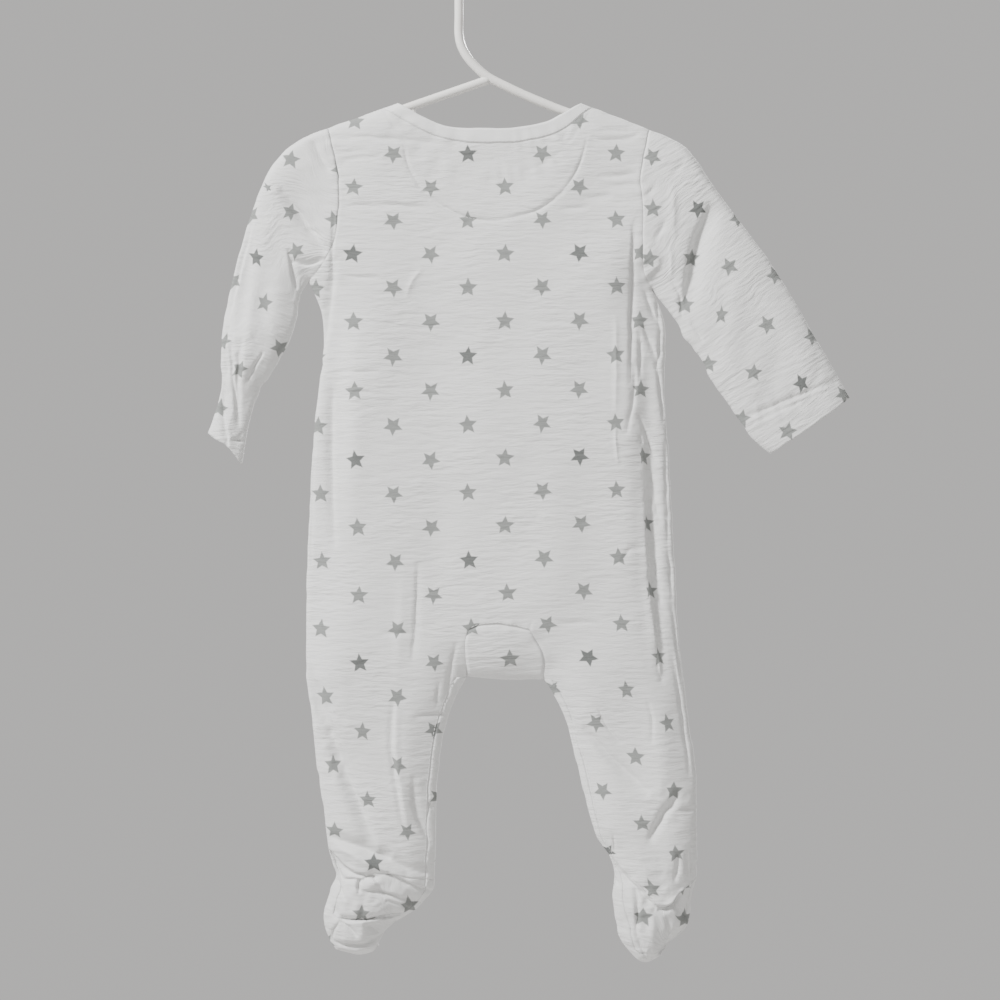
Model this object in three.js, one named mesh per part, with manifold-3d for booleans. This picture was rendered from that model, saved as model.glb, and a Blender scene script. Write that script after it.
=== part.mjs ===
// A footed baby sleepsuit of printed muslin, hanging flat on a moulded child's hanger.
// Millimetres. +Z is up, the garment's back faces -Y and its front +Y.
// The origin is the inner top of the hanger's hook, where a rail or a peg carries it.
import * as THREE from "three";
import { mergeVertices } from "three/addons/utils/BufferGeometryUtils.js";
import Module from "manifold-3d";

const wasm = await Module();
wasm.setup();

// Cloth and seams
const WALL = 1.5;
const SEAM_GAP = 0.3;

// Distances from a folded edge at which the cloth's points crowd: two just past it, and two
// for the wider fold over the hanger
const NEAR_FOLD = 1.2;
const PAST_FOLD = 3.6;
const HANGER_FOLD = [1.55, 5.4];

// How folds fade towards the silhouette, and how far the middle lies from the bent sides
const FOLD_FADE = 15;
const BODY_GRIP = 3;

// Inner-leg strips: how much of each lies on the back and on the front
const BACK_STRIP = 6;
const FRONT_STRIP = 13;

// Cells of the cloth's grid
const LEG_CELLS = 5;
const MIDDLE_CELLS = 4;
const YOKE_CELLS = 6;
const BODY_CELLS = 11;
const CROTCH_ROWS = 3;
const LEG_ROWS = 7;
const SLEEVE_ROWS = 12;
const NECK_SIDE_CELLS = 5;
const NECKBAND_ROWS = 2;

// Sampling of the silhouette, and how near a point counts as lying on it
const SAMPLE_STEP = 2;
const ON_EDGE = 0.05;
const LOOK_INWARD = 0.8;

// Hanger
const TUBE_RADIUS = 3.15;
const TUBE_SIDES = 8;
const TUBE_STEP = 7.5;
const HOOK_RADIUS = 21;
const HOOK_END_ANGLE = -0.26;
const STEM_X = -21;
const PEG_RADIUS = 1.9;
const PEG_LENGTH = 14;

// Front band and its poppers
const BAND_HALF_WIDTH = 10.5;
const POPPER_RADIUS = 4.5;
const POPPER_HEIGHT = 1.8;
const POPPER_RIM_HEIGHT = 0.9;
const POPPER_CROWN = { radius: 3.1, height: 1.6 };
const POPPER_SIDES = 10;
const POPPER_ROWS = [2, 4, 6, 9, 12, 15, 18];

// Finish: colour, roughness, metalness
const MUSLIN = new THREE.MeshStandardMaterial({ color: 0xd3d3d1, roughness: 0.9, metalness: 0 });
const BAND = new THREE.MeshStandardMaterial({ color: 0xdadad8, roughness: 0.88, metalness: 0 });
const PLASTIC = new THREE.MeshStandardMaterial({ color: 0xd6d3cd, roughness: 0.35, metalness: 0 });
const POPPER = new THREE.MeshStandardMaterial({ color: 0xe4e4e2, roughness: 0.3, metalness: 0 });

// A table is written as one line of column names and a row for each section.
function table(columns, rows) {
  const names = columns.split(" ");
  return rows.map((row) => Object.fromEntries(names.map((name, i) => [name, row[i]])));
}

// Silhouette of the hanging garment, seen from its back. A row is one section, taken from
// its left edge to its right edge, or from its outer edge to its inner edge.
const SHOULDERS = table("leftX leftZ rightX rightZ", [
  [-64.4, -96.0, 64.4, -96.0],
  [-74.0, -99.4, 72.0, -98.9],
  [-93.0, -106.4, 92.0, -106.2],
  [-112.7, -113.2, 112.0, -114.6],
]);
const SLEEVE_LEFT = table("topX topZ underX underZ", [
  [-112.7, -113.2, -126.0, -221.0],
  [-126.5, -118.4, -131.6, -229.0],
  [-142.1, -128.4, -134.6, -246.0],
  [-153.0, -141.4, -138.6, -260.0],
  [-160.8, -158.5, -145.0, -272.6],
  [-171.0, -187.0, -153.3, -285.9],
  [-180.6, -225.0, -159.6, -295.8],
  [-187.6, -262.8, -164.5, -308.0],
  [-187.4, -297.0, -168.8, -326.0],
  [-196.7, -326.6, -173.0, -348.3],
]);
const SLEEVE_RIGHT = table("topX topZ underX underZ", [
  [112.0, -114.6, 114.1, -226.4],
  [125.5, -119.8, 124.6, -240.0],
  [136.5, -126.0, 131.0, -248.4],
  [146.0, -137.0, 137.4, -260.8],
  [157.1, -153.6, 148.4, -274.8],
  [174.0, -176.5, 154.5, -288.0],
  [193.2, -201.9, 165.9, -304.1],
  [212.0, -231.5, 177.1, -320.9],
  [231.7, -265.6, 187.0, -333.0],
  [252.7, -302.0, 196.7, -341.3],
]);
const SIDES = table("leftX leftZ rightX rightZ", [
  [-126.0, -221.0, 114.1, -226.4],
  [-118.0, -239.0, 119.4, -238.5],
  [-115.6, -256.0, 123.2, -254.0],
  [-116.4, -276.0, 123.2, -276.0],
  [-120.0, -302.0, 122.8, -302.0],
  [-123.6, -342.0, 125.8, -344.0],
  [-126.0, -392.0, 128.2, -392.0],
  [-127.6, -432.0, 130.6, -430.0],
  [-128.1, -463.0, 132.2, -464.0],
]);
const LEG_LEFT = table("outerX outerZ innerX innerZ", [
  [-128.0, -497.0, -15.4, -496.8],
  [-125.8, -513.0, -22.8, -510.5],
  [-123.4, -534.0, -30.4, -531.0],
  [-120.6, -558.0, -34.8, -558.0],
  [-116.2, -586.0, -37.0, -586.0],
  [-114.0, -604.0, -37.0, -612.0],
  [-112.3, -617.5, -38.2, -639.5],
]);
const LEG_RIGHT = table("outerX outerZ innerX innerZ", [
  [136.0, -497.0, 37.8, -498.7],
  [137.6, -512.0, 46.6, -512.0],
  [140.2, -532.0, 54.6, -531.0],
  [143.8, -555.0, 60.9, -555.4],
  [145.5, -578.0, 66.8, -580.0],
  [145.3, -600.0, 73.0, -603.0],
  [145.6, -622.0, 78.6, -614.0],
  [145.8, -637.3, 84.0, -622.0],
]);
const FOOT_LEFT = table("outerX outerZ innerX innerZ", [
  [-112.3, -617.5, -38.2, -639.5],
  [-109.6, -627.0, -39.4, -647.0],
  [-107.4, -635.9, -45.5, -654.6],
  [-111.4, -647.0, -50.5, -660.0],
  [-115.8, -660.0, -55.5, -664.4],
  [-116.2, -669.0, -65.8, -670.2],
  [-113.8, -679.5, -73.8, -677.6],
  [-107.8, -689.5, -78.0, -687.0],
]);
const FOOT_RIGHT = table("outerX outerZ innerX innerZ", [
  [145.8, -637.3, 84.0, -622.0],
  [142.6, -648.0, 88.0, -634.9],
  [141.2, -656.0, 86.9, -650.0],
  [141.6, -664.0, 88.4, -664.0],
  [137.6, -675.0, 90.6, -676.5],
  [127.0, -684.5, 94.0, -685.0],
  [121.0, -693.6, 101.0, -693.6],
]);

// Seam lines that cross the garment, as seen from its back
const ARMHOLE_LEFT = table("x z", [
  [-112.7, -113.2], [-105.0, -147.0], [-104.8, -172.0], [-107.0, -200.0], [-113.0, -217.0], [-126.0, -221.0],
]);
const ARMHOLE_RIGHT = table("x z", [
  [112.0, -114.6], [105.8, -146.0], [107.0, -165.0], [107.1, -194.0], [108.4, -215.0], [114.1, -226.4],
]);
const BACK_NECK_SEAM = table("x z", [
  [-74.0, -99.4], [-57.4, -110.2], [-43.0, -117.6], [-30.1, -122.1], [-11.9, -124.7],
  [4.9, -124.9], [20.3, -124.2], [39.2, -120.7], [53.2, -114.4], [72.0, -98.9],
]);
const BACK_NECK_EDGE = table("x z", [
  [-64.4, -96.0], [-51.8, -103.2], [-39.9, -109.2], [-28.0, -113.2], [-11.9, -114.4],
  [4.9, -114.4], [20.3, -113.7], [36.4, -110.7], [49.0, -105.3], [64.4, -96.0],
]);
const FRONT_NECK_SEAM = table("x z", [
  [-74.0, -99.4], [-66.0, -113.0], [-52.0, -130.0], [-32.0, -143.0], [-10.0, -148.4],
  [10.0, -148.4], [31.0, -142.6], [51.0, -129.0], [64.5, -112.0], [72.0, -98.9],
]);
const FRONT_NECK_EDGE = table("x z", [
  [-64.4, -96.0], [-58.0, -108.0], [-46.0, -122.0], [-28.0, -133.6], [-9.0, -138.4],
  [9.0, -138.4], [28.0, -133.4], [45.5, -121.5], [57.5, -107.5], [64.4, -96.0],
]);
const GUSSET_TOP = table("x z", [[-13.4, -463.6], [-2.8, -460.4], [7.7, -460.2], [18.2, -461.4], [28.9, -464.4]]);
const GUSSET_LEFT = table("x z", [[-13.4, -463.6], [-16.8, -473.0], [-15.4, -496.8]]);
const GUSSET_RIGHT = table("x z", [[28.9, -464.4], [38.6, -483.0], [37.8, -498.7]]);
const CROTCH = table("x z", [[-15.4, -496.8], [11.0, -499.4], [37.8, -498.7]]);
const ANKLE_LEFT = table("x z", [[-112.3, -617.5], [-97.3, -630.6], [-77.0, -633.4], [-58.0, -636.4], [-38.2, -639.5]]);
const ANKLE_RIGHT = table("x z", [
  [145.8, -637.3], [135.0, -646.4], [128.4, -655.0], [120.0, -658.0], [111.8, -650.0], [102.0, -640.0], [84.0, -622.0],
]);
const SOLE_END_LEFT = table("x z", [[-115.8, -660.0], [-104.3, -665.0], [-85.4, -665.9], [-67.2, -662.2], [-55.5, -664.4]]);
const SOLE_END_RIGHT = table("x z", [[127.0, -684.5], [117.0, -690.5], [106.0, -690.5], [94.0, -685.0]]);
const TOE_LEFT = table("x z", [[-107.8, -689.5], [-93.0, -693.4], [-83.0, -691.4], [-78.0, -687.0]]);
const TOE_RIGHT = table("x z", [[121.0, -693.6], [112.0, -698.6], [106.0, -697.9], [101.0, -693.6]]);
const CUFF_LEFT = table("x z", [[-196.7, -326.6], [-190.0, -331.9], [-182.3, -336.4], [-173.0, -348.3]]);
const CUFF_RIGHT = table("x z", [[252.7, -302.0], [230.7, -318.2], [212.0, -330.8], [196.7, -341.3]]);

// How far the cloth stands out from the middle plane, by height: half the depth inside the
// garment, and the distance from the silhouette over which it rises to that depth
const BODY_DEPTH = table("z half spread", [
  [-90, 5.6, 18], [-150, 6.2, 20], [-210, 9.0, 34], [-300, 10.4, 44], [-440, 11.0, 42],
  [-500, 10.4, 28], [-560, 9.2, 24], [-610, 9.6, 22], [-650, 12.0, 18], [-700, 11.0, 14],
]);
const SLEEVE_DEPTH = { half: 6.8, spread: 18, from: 108, to: 150, lowest: -380 };
// Radius inside the folded edge, at the hanger and below it
const FOLD_RADIUS = { atHanger: 3.8, below: 1.7, from: -146, to: -200 };
// The feet swing forward as they hang
const FEET_FORWARD = { shift: 8, from: -600, to: -690 };

// Largest folds. Side -1 is the back layer and 1 the front. A positive depth stands out.
const FOLDS = table("side x1 z1 x2 z2 width depth", [
  [-1, 110, -235, 112, -470, 7, -2.6],
  [-1, 96, -250, 99, -440, 9, 1.0],
  [-1, -106, -230, -110, -430, 9, -2.4],
  [-1, -92, -240, -96, -400, 9, 1.2],
  [-1, -40, -360, -34, -455, 14, -1.2],
  [-1, 45, -330, 52, -450, 14, 1.0],
  [-1, -118, -505, -68, -618, 10, -2.2],
  [-1, -60, -500, -58, -610, 9, 1.8],
  [-1, 80, -500, 114, -590, 10, -2.0],
  [-1, 132, -572, 108, -630, 9, -1.8],
  [-1, 118, -505, 122, -600, 9, 1.5],
  [-1, 150, -165, 138, -255, 9, -1.8],
  [-1, 175, -205, 166, -290, 9, 1.5],
  [-1, 205, -250, 190, -318, 8, -1.2],
  [-1, -138, -145, -120, -205, 9, -1.6],
  [-1, -168, -210, -172, -300, 7, 1.6],
  [-1, -152, -200, -160, -282, 7, -1.4],
  [1, -60, -190, -72, -420, 14, -2.0],
  [1, 66, -200, 78, -430, 14, -2.0],
  [1, -98, -240, -104, -440, 9, 1.6],
  [1, 100, -245, 104, -450, 9, 1.6],
  [1, -76, -505, -82, -615, 10, -2.0],
  [1, 96, -505, 116, -620, 10, -2.0],
  [1, 160, -175, 160, -270, 9, -1.8],
  [1, 190, -225, 184, -310, 8, 1.4],
  [1, -145, -150, -132, -225, 9, -1.6],
  [1, -166, -215, -168, -305, 7, 1.4],
]);

// Flat geometry. A flat point is a Vector2: x across the garment and y its height.
function columnOf(rows, xName, zName) {
  return rows.map((row) => new THREE.Vector2(row[xName], row[zName]));
}

const shoulderLeft = columnOf(SHOULDERS, "leftX", "leftZ");
const shoulderRight = columnOf(SHOULDERS, "rightX", "rightZ");

// Points along the smooth line through the given ones, at distances from its start
function along(points, distances) {
  const curve = new THREE.SplineCurve(points);
  const length = curve.getLength();
  return distances(length).map((distance) => curve.getPointAt(Math.min(1, distance / length)));
}

// A table's rows up to one of them, and from it on
const cutAt = (rows, row) => [rows.slice(0, row + 1), rows.slice(row)];

function evenly(cells) {
  return (length) => Array.from({ length: cells + 1 }, (_, i) => (i * length) / cells);
}

// Distances that crowd at folded edges: some fixed ones at the start and the end of the
// line, and even cells between them
function crowded(start, cells, end) {
  return (length) => {
    const first = start.at(-1) ?? 0;
    const last = length - (end.at(-1) ?? 0);
    const between = Array.from({ length: cells + 1 }, (_, i) => first + ((last - first) * i) / cells);
    const head = start.length ? [0, ...start.slice(0, -1)] : [];
    const tail = end.length ? [...end.slice(0, -1).reverse().map((d) => length - d), length] : [];
    return [...head, ...between, ...tail];
  };
}

const EDGE = [NEAR_FOLD, PAST_FOLD];

// The sole's end cuts each foot's edge lines in two.
const SOLE_ROW_LEFT = 4;
const SOLE_ROW_RIGHT = 5;

// Silhouette lines, from which the depth of the cloth is measured
const silhouette = [
  shoulderLeft.slice(0, 2),
  shoulderLeft.slice(1),
  columnOf(SLEEVE_LEFT, "topX", "topZ"),
  columnOf(SLEEVE_LEFT, "underX", "underZ"),
  columnOf(SIDES, "leftX", "leftZ"),
  [SIDES.at(-1), LEG_LEFT[0]].map((row) => new THREE.Vector2(row.leftX ?? row.outerX, row.leftZ ?? row.outerZ)),
  columnOf(LEG_LEFT, "outerX", "outerZ"),
  ...cutAt(FOOT_LEFT, SOLE_ROW_LEFT).flatMap((part) => [
    columnOf(part, "outerX", "outerZ"),
    columnOf(part, "innerX", "innerZ"),
  ]),
  columnOf(TOE_LEFT, "x", "z"),
  columnOf(LEG_LEFT, "innerX", "innerZ"),
  columnOf(CROTCH, "x", "z"),
  columnOf(LEG_RIGHT, "innerX", "innerZ"),
  ...cutAt(FOOT_RIGHT, SOLE_ROW_RIGHT).flatMap((part) => [
    columnOf(part, "outerX", "outerZ"),
    columnOf(part, "innerX", "innerZ"),
  ]),
  columnOf(TOE_RIGHT, "x", "z"),
  columnOf(LEG_RIGHT, "outerX", "outerZ"),
  [SIDES.at(-1), LEG_RIGHT[0]].map((row) => new THREE.Vector2(row.rightX ?? row.outerX, row.rightZ ?? row.outerZ)),
  columnOf(SIDES, "rightX", "rightZ"),
  columnOf(SLEEVE_RIGHT, "underX", "underZ"),
  columnOf(SLEEVE_RIGHT, "topX", "topZ"),
  shoulderRight.slice(1),
  shoulderRight.slice(0, 2),
].map((points) => along(points, (length) => evenly(Math.ceil(length / SAMPLE_STEP))(length)));

// Distance from the silhouette, and the direction straight away from it
function fromSilhouette(point) {
  let best = Infinity;
  let away = null;
  for (const line of silhouette) {
    for (let i = 1; i < line.length; i += 1) {
      const a = line[i - 1];
      const dx = line[i].x - a.x;
      const dy = line[i].y - a.y;
      const t = ((point.x - a.x) * dx + (point.y - a.y) * dy) / (dx * dx + dy * dy);
      const clamped = Math.min(1, Math.max(0, t));
      const toX = point.x - a.x - clamped * dx;
      const toY = point.y - a.y - clamped * dy;
      const squared = toX * toX + toY * toY;
      if (squared < best) {
        best = squared;
        away = [toX, toY];
      }
    }
  }
  const distance = Math.sqrt(best);
  const direction = new THREE.Vector2(...away).divideScalar(Math.max(distance, 1e-9));
  return { distance, direction };
}

const smooth = (from, to, value) => THREE.MathUtils.smoothstep((value - from) / (to - from), 0, 1);

function byHeight(rows, z) {
  const next = rows.findIndex((row) => row.z <= z);
  if (next === 0) return rows[0];
  if (next < 0) return rows.at(-1);
  const [above, below] = [rows[next - 1], rows[next]];
  const part = (above.z - z) / (above.z - below.z);
  return {
    half: THREE.MathUtils.lerp(above.half, below.half, part),
    spread: THREE.MathUtils.lerp(above.spread, below.spread, part),
  };
}

// Half depth, spread and inner fold radius at a flat point
function fullness({ x, y: z }) {
  const body = byHeight(BODY_DEPTH, z);
  const sleeve = smooth(SLEEVE_DEPTH.from, SLEEVE_DEPTH.to, Math.abs(x))
    * smooth(SLEEVE_DEPTH.lowest - 20, SLEEVE_DEPTH.lowest, z);
  const below = smooth(FOLD_RADIUS.from, FOLD_RADIUS.to, z);
  return {
    half: THREE.MathUtils.lerp(body.half, SLEEVE_DEPTH.half, sleeve),
    spread: THREE.MathUtils.lerp(body.spread, SLEEVE_DEPTH.spread, sleeve),
    radius: THREE.MathUtils.lerp(FOLD_RADIUS.atHanger, FOLD_RADIUS.below, below),
  };
}

function foldHeight({ x, y: z }, side) {
  let height = 0;
  for (const fold of FOLDS) {
    if (fold.side !== side) continue;
    const dx = fold.x2 - fold.x1;
    const dz = fold.z2 - fold.z1;
    const t = ((x - fold.x1) * dx + (z - fold.z1) * dz) / (dx * dx + dz * dz);
    if (t <= 0 || t >= 1) continue;
    const across = Math.hypot(x - fold.x1 - t * dx, z - fold.z1 - t * dz) / fold.width;
    height += fold.depth * Math.sin(Math.PI * t) * Math.exp(-across * across);
  }
  return height;
}

const roundEdge = (distance, radius) => {
  const inside = radius - Math.min(Math.max(distance, 0), radius);
  return Math.sqrt(radius * radius - inside * inside);
};

const rise = (distance, spread) => {
  const part = Math.min(1, Math.max(0, distance) / spread);
  return part * (2 - part);
};

// The two faces of the cloth at a flat point. A point on a folded edge of a piece that
// wraps round it lies in the middle plane, and on a seam there it stops just short of it.
function faces(point, side, { wraps = false, inward = null, lift = 0 } = {}) {
  let { distance, direction } = fromSilhouette(point);
  const onEdge = distance < ON_EDGE;
  if (onEdge) {
    distance = 0;
    direction = fromSilhouette(point.clone().addScaledVector(inward, LOOK_INWARD)).direction;
  }
  const { half, spread, radius } = fullness(point);
  const outerRadius = radius + WALL;
  const short = onEdge && wraps ? 0 : SEAM_GAP / 2;
  const wave = foldHeight(point, side) * rise(distance, FOLD_FADE);
  const forward = FEET_FORWARD.shift * smooth(FEET_FORWARD.from, FEET_FORWARD.to, point.y);
  const outDepth = roundEdge(distance, outerRadius) + (half - radius) * rise(distance - WALL, spread);
  const inset = WALL * (1 - Math.min(1, distance / outerRadius));
  const inner = point.clone().addScaledVector(direction, inset);
  const reach = distance + inset - WALL;
  const inDepth = roundEdge(reach, radius) + (half - radius) * rise(reach, spread);
  const outY = side * (Math.max(short, outDepth + wave) + lift) + forward;
  const inY = side * (Math.max(short, inDepth + wave) + lift) + forward;
  return {
    outer: new THREE.Vector3(point.x, outY, point.y),
    inner: new THREE.Vector3(inner.x, inY, inner.y),
  };
}

// Rows of flat points between four lines that meet at their ends. A grip above 1 keeps the
// bends of the left and right lines near those lines.
function between(top, bottom, left, right, grip = 1) {
  const across = top.length - 1;
  const down = left.length - 1;
  const share = (line, i) => {
    const whole = line[0].distanceTo(line.at(-1));
    return whole > 0 ? line[0].distanceTo(line[i]) / whole : i / (line.length - 1);
  };
  return left.map((leftPoint, i) => top.map((topPoint, j) => {
    const u = (share(top, j) + share(bottom, j)) / 2;
    const v = (share(left, i) + share(right, i)) / 2;
    if (i === 0) return topPoint.clone();
    if (i === down) return bottom[j].clone();
    if (j === 0) return leftPoint.clone();
    if (j === across) return right[i].clone();
    const point = topPoint.clone().lerp(bottom[j], v);
    const leftBend = leftPoint.clone().sub(top[0].clone().lerp(bottom[0], v));
    const rightBend = right[i].clone().sub(top[across].clone().lerp(bottom[across], v));
    point.addScaledVector(leftBend, (1 - u) ** grip).addScaledVector(rightBend, u ** grip);
    return point;
  }));
}

// Cells of a sheet: four corners each, in order, with the layer that they lie in
function cells(rows, side, keep = () => true) {
  const found = [];
  for (let i = 0; i + 1 < rows.length; i += 1) {
    for (let j = 0; j + 1 < rows[i].length; j += 1) {
      if (!keep(i, j, rows[i].length - 1)) continue;
      found.push({ side, corners: [rows[i][j], rows[i][j + 1], rows[i + 1][j + 1], rows[i + 1][j]] });
    }
  }
  return found;
}

const flatKey = (point) => `${point.x.toFixed(3)},${point.y.toFixed(3)}`;
const isOnSilhouette = new Map();

function onSilhouette(point) {
  const key = flatKey(point);
  if (!isOnSilhouette.has(key)) isOnSilhouette.set(key, fromSilhouette(point).distance < ON_EDGE);
  return isOnSilhouette.get(key);
}

// Names of a corner: both layers of a wrapping piece share its points on the silhouette.
function cornerKey(point, side, wraps) {
  return wraps && onSilhouette(point) ? flatKey(point) : `${flatKey(point)},${side}`;
}

// A wall of cloth from its cells. Each free edge that is a seam is drawn in by half a gap,
// and then the two faces are joined along every free edge.
function clothWall(sheet, { wraps = false, lift = 0 } = {}) {
  const corners = new Map();
  const edges = new Map();
  const faceRows = sheet.map(({ side, corners: flat }) => {
    const centre = flat.reduce((sum, point) => sum.clone().add(point), new THREE.Vector2()).divideScalar(4);
    const keys = flat.map((point, i) => {
      const key = cornerKey(point, side, wraps);
      if (!corners.has(key)) corners.set(key, { point, side, inward: new THREE.Vector2(), pull: new THREE.Vector2() });
      const { inward } = corners.get(key);
      inward.addScaledVector(centre.clone().sub(point).normalize(), 0.01);
      for (const neighbour of [flat[(i + 1) % 4], flat[(i + 3) % 4]]) {
        if (!onSilhouette(neighbour)) inward.add(neighbour.clone().sub(point).normalize());
      }
      return key;
    });
    const ordered = side < 0 ? [...keys].reverse() : keys;
    ordered.forEach((from, i) => {
      const to = ordered[(i + 1) % 4];
      const twin = `${to}|${from}`;
      if (edges.has(twin)) edges.delete(twin);
      else edges.set(`${from}|${to}`, { from, to, centre });
    });
    return ordered;
  });
  for (const { from, to, centre } of edges.values()) {
    const [a, b] = [corners.get(from), corners.get(to)];
    if (onSilhouette(a.point) && onSilhouette(b.point)) continue;
    const along = b.point.clone().sub(a.point).normalize();
    const normal = new THREE.Vector2(-along.y, along.x);
    if (normal.dot(centre.clone().sub(a.point)) < 0) normal.negate();
    a.pull.add(normal);
    b.pull.add(normal);
  }
  for (const corner of corners.values()) {
    const moved = corner.point.clone();
    if (corner.pull.length() > 0.1) {
      const direction = corner.pull.clone().normalize();
      const turn = corner.pull.length() > 1.05 ? corner.pull.length() / 2 : 1;
      moved.addScaledVector(direction, SEAM_GAP / 2 / Math.max(turn, 0.5));
    }
    const inward = corner.inward.normalize();
    Object.assign(corner, faces(moved, corner.side, { wraps, inward, lift }));
  }
  const positions = [];
  const quad = (a, b, c, d) => {
    for (const triangle of [[a, b, c], [a, c, d]]) positions.push(...triangle.flatMap((p) => p.toArray()));
  };
  for (const [a, b, c, d] of faceRows.map((row) => row.map((key) => corners.get(key)))) {
    quad(a.outer, b.outer, c.outer, d.outer);
    quad(d.inner, c.inner, b.inner, a.inner);
  }
  // Both sides of a seam split its edge faces along the same diagonal.
  for (const { from, to } of edges.values()) {
    const [a, b] = [corners.get(from), corners.get(to)];
    if (from < to) quad(b.outer, a.outer, a.inner, b.inner);
    else quad(a.outer, a.inner, b.inner, b.outer);
  }
  return closedGeometry(positions);
}

// Triangles without area are left out, as where two corners of a cell are one point.
function closedGeometry(positions) {
  const raw = new THREE.BufferGeometry();
  raw.setAttribute("position", new THREE.Float32BufferAttribute(positions, 3));
  const merged = mergeVertices(raw, 1e-3);
  const index = merged.index.array;
  const kept = [];
  for (let i = 0; i < index.length; i += 3) {
    const [a, b, c] = [index[i], index[i + 1], index[i + 2]];
    if (a !== b && b !== c && c !== a) kept.push(a, b, c);
  }
  merged.setIndex(kept);
  merged.computeVertexNormals();
  return merged;
}

// Neck columns crowd at both shoulders, and two at the middle are as wide as the front band.
function neckColumns(length) {
  const half = crowded(HANGER_FOLD, NECK_SIDE_CELLS, [BAND_HALF_WIDTH])(length / 2);
  return [...half, ...half.slice(0, -1).reverse().map((distance) => length - distance)];
}

function legColumns(strip) {
  return crowded(EDGE, LEG_CELLS, [NEAR_FOLD, PAST_FOLD, strip]);
}

function crossing(left, leftSpacing, middle, right, rightSpacing) {
  const leftPart = along([left, middle[0]], leftSpacing);
  const rightPart = along([right, middle.at(-1)], rightSpacing).reverse();
  return [...leftPart, ...middle.slice(1, -1), ...rightPart];
}

// The patches of one layer. Its columns are the left leg's, the gusset's and the right
// leg's; at the shoulders they are the left shoulder's, the neck's and the right shoulder's.
function layer(neckSeam, strip) {
  const columns = legColumns(strip);
  const count = columns(100).length - 1;
  const neck = along(columnOf(neckSeam, "x", "z"), neckColumns);
  const shoulderCells = (2 * count + MIDDLE_CELLS + 1 - neck.length) / 2;
  const shoulderDown = (points) => along(points.slice(1), evenly(shoulderCells));
  const top = [...shoulderDown(shoulderLeft).reverse(), ...neck.slice(1, -1), ...shoulderDown(shoulderRight)];
  const armRows = crowded(HANGER_FOLD, YOKE_CELLS, []);
  const armLeft = along(columnOf(ARMHOLE_LEFT, "x", "z"), armRows);
  const armRight = along(columnOf(ARMHOLE_RIGHT, "x", "z"), armRows);
  const gussetTop = along(columnOf(GUSSET_TOP, "x", "z"), evenly(MIDDLE_CELLS));
  const armpitMiddle = gussetTop.map((point) => new THREE.Vector2(point.x, armLeft.at(-1).y - 4));
  const armpits = crossing(armLeft.at(-1), columns, armpitMiddle, armRight.at(-1), columns);
  const sideLeft = along(columnOf(SIDES, "leftX", "leftZ"), evenly(BODY_CELLS));
  const sideRight = along(columnOf(SIDES, "rightX", "rightZ"), evenly(BODY_CELLS));
  const hips = crossing(sideLeft.at(-1), columns, gussetTop, sideRight.at(-1), columns);
  const crotchRows = crowded([], CROTCH_ROWS, EDGE);
  const crotch = along(columnOf(CROTCH, "x", "z"), evenly(MIDDLE_CELLS));
  const gussetLeft = along(columnOf(GUSSET_LEFT, "x", "z"), crotchRows);
  const gussetRight = along(columnOf(GUSSET_RIGHT, "x", "z"), crotchRows);
  const leg = (hip, side, gussetSide, rows, ankle) => {
    const outerTop = along([side, new THREE.Vector2(rows[0].outerX, rows[0].outerZ)], crotchRows);
    const outer = [...outerTop, ...along(columnOf(rows, "outerX", "outerZ"), evenly(LEG_ROWS)).slice(1)];
    const innerLine = [...gussetSide, ...along(columnOf(rows, "innerX", "innerZ"), evenly(LEG_ROWS)).slice(1)];
    return between(hip, along(columnOf(ankle, "x", "z"), columns), outer, innerLine);
  };
  const hipLeft = hips.slice(0, count + 1);
  const hipRight = hips.slice(-count - 1).reverse();
  return {
    columnTotal: top.length - 1,
    yoke: between(top, armpits, armLeft, armRight, BODY_GRIP),
    body: between(armpits, hips, sideLeft, sideRight, BODY_GRIP),
    crotch: between(gussetTop, crotch, gussetLeft, gussetRight),
    legLeft: leg(hipLeft, sideLeft.at(-1), gussetLeft, LEG_LEFT, ANKLE_LEFT),
    legRight: leg(hipRight, sideRight.at(-1), gussetRight, LEG_RIGHT, ANKLE_RIGHT),
  };
}

const STRIP_COLUMNS = 3;
const back = layer(BACK_NECK_SEAM, BACK_STRIP);
const front = layer(FRONT_NECK_SEAM, FRONT_STRIP);
const legTopRows = back.crotch.length - 1;
const flipped = (rows) => rows.map((row) => [...row].reverse());

// Cells of a leg beside the opening strip, and those of the strip itself
const besideStrip = (i, j, total) => i < legTopRows || j < total - STRIP_COLUMNS;
const inStrip = (i, j, total) => !besideStrip(i, j, total);
const rightLeg = (rows, side, keep) => cells(flipped(rows), side, (i, j, total) => keep(i, total - 1 - j, total));

const group = new THREE.Group();

function addPiece(name, geometry, material) {
  const mesh = new THREE.Mesh(geometry, material);
  mesh.name = name;
  group.add(mesh);
  return mesh;
}

function addBackPanel() {
  const sheet = [
    ...cells(back.yoke, -1),
    ...cells(back.body, -1),
    ...cells(back.legLeft, -1, besideStrip),
    ...rightLeg(back.legRight, -1, besideStrip),
  ];
  addPiece("back_panel", clothWall(sheet), MUSLIN);
  addPiece("back_gusset", clothWall(cells(back.crotch, -1)), MUSLIN);
}

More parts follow.
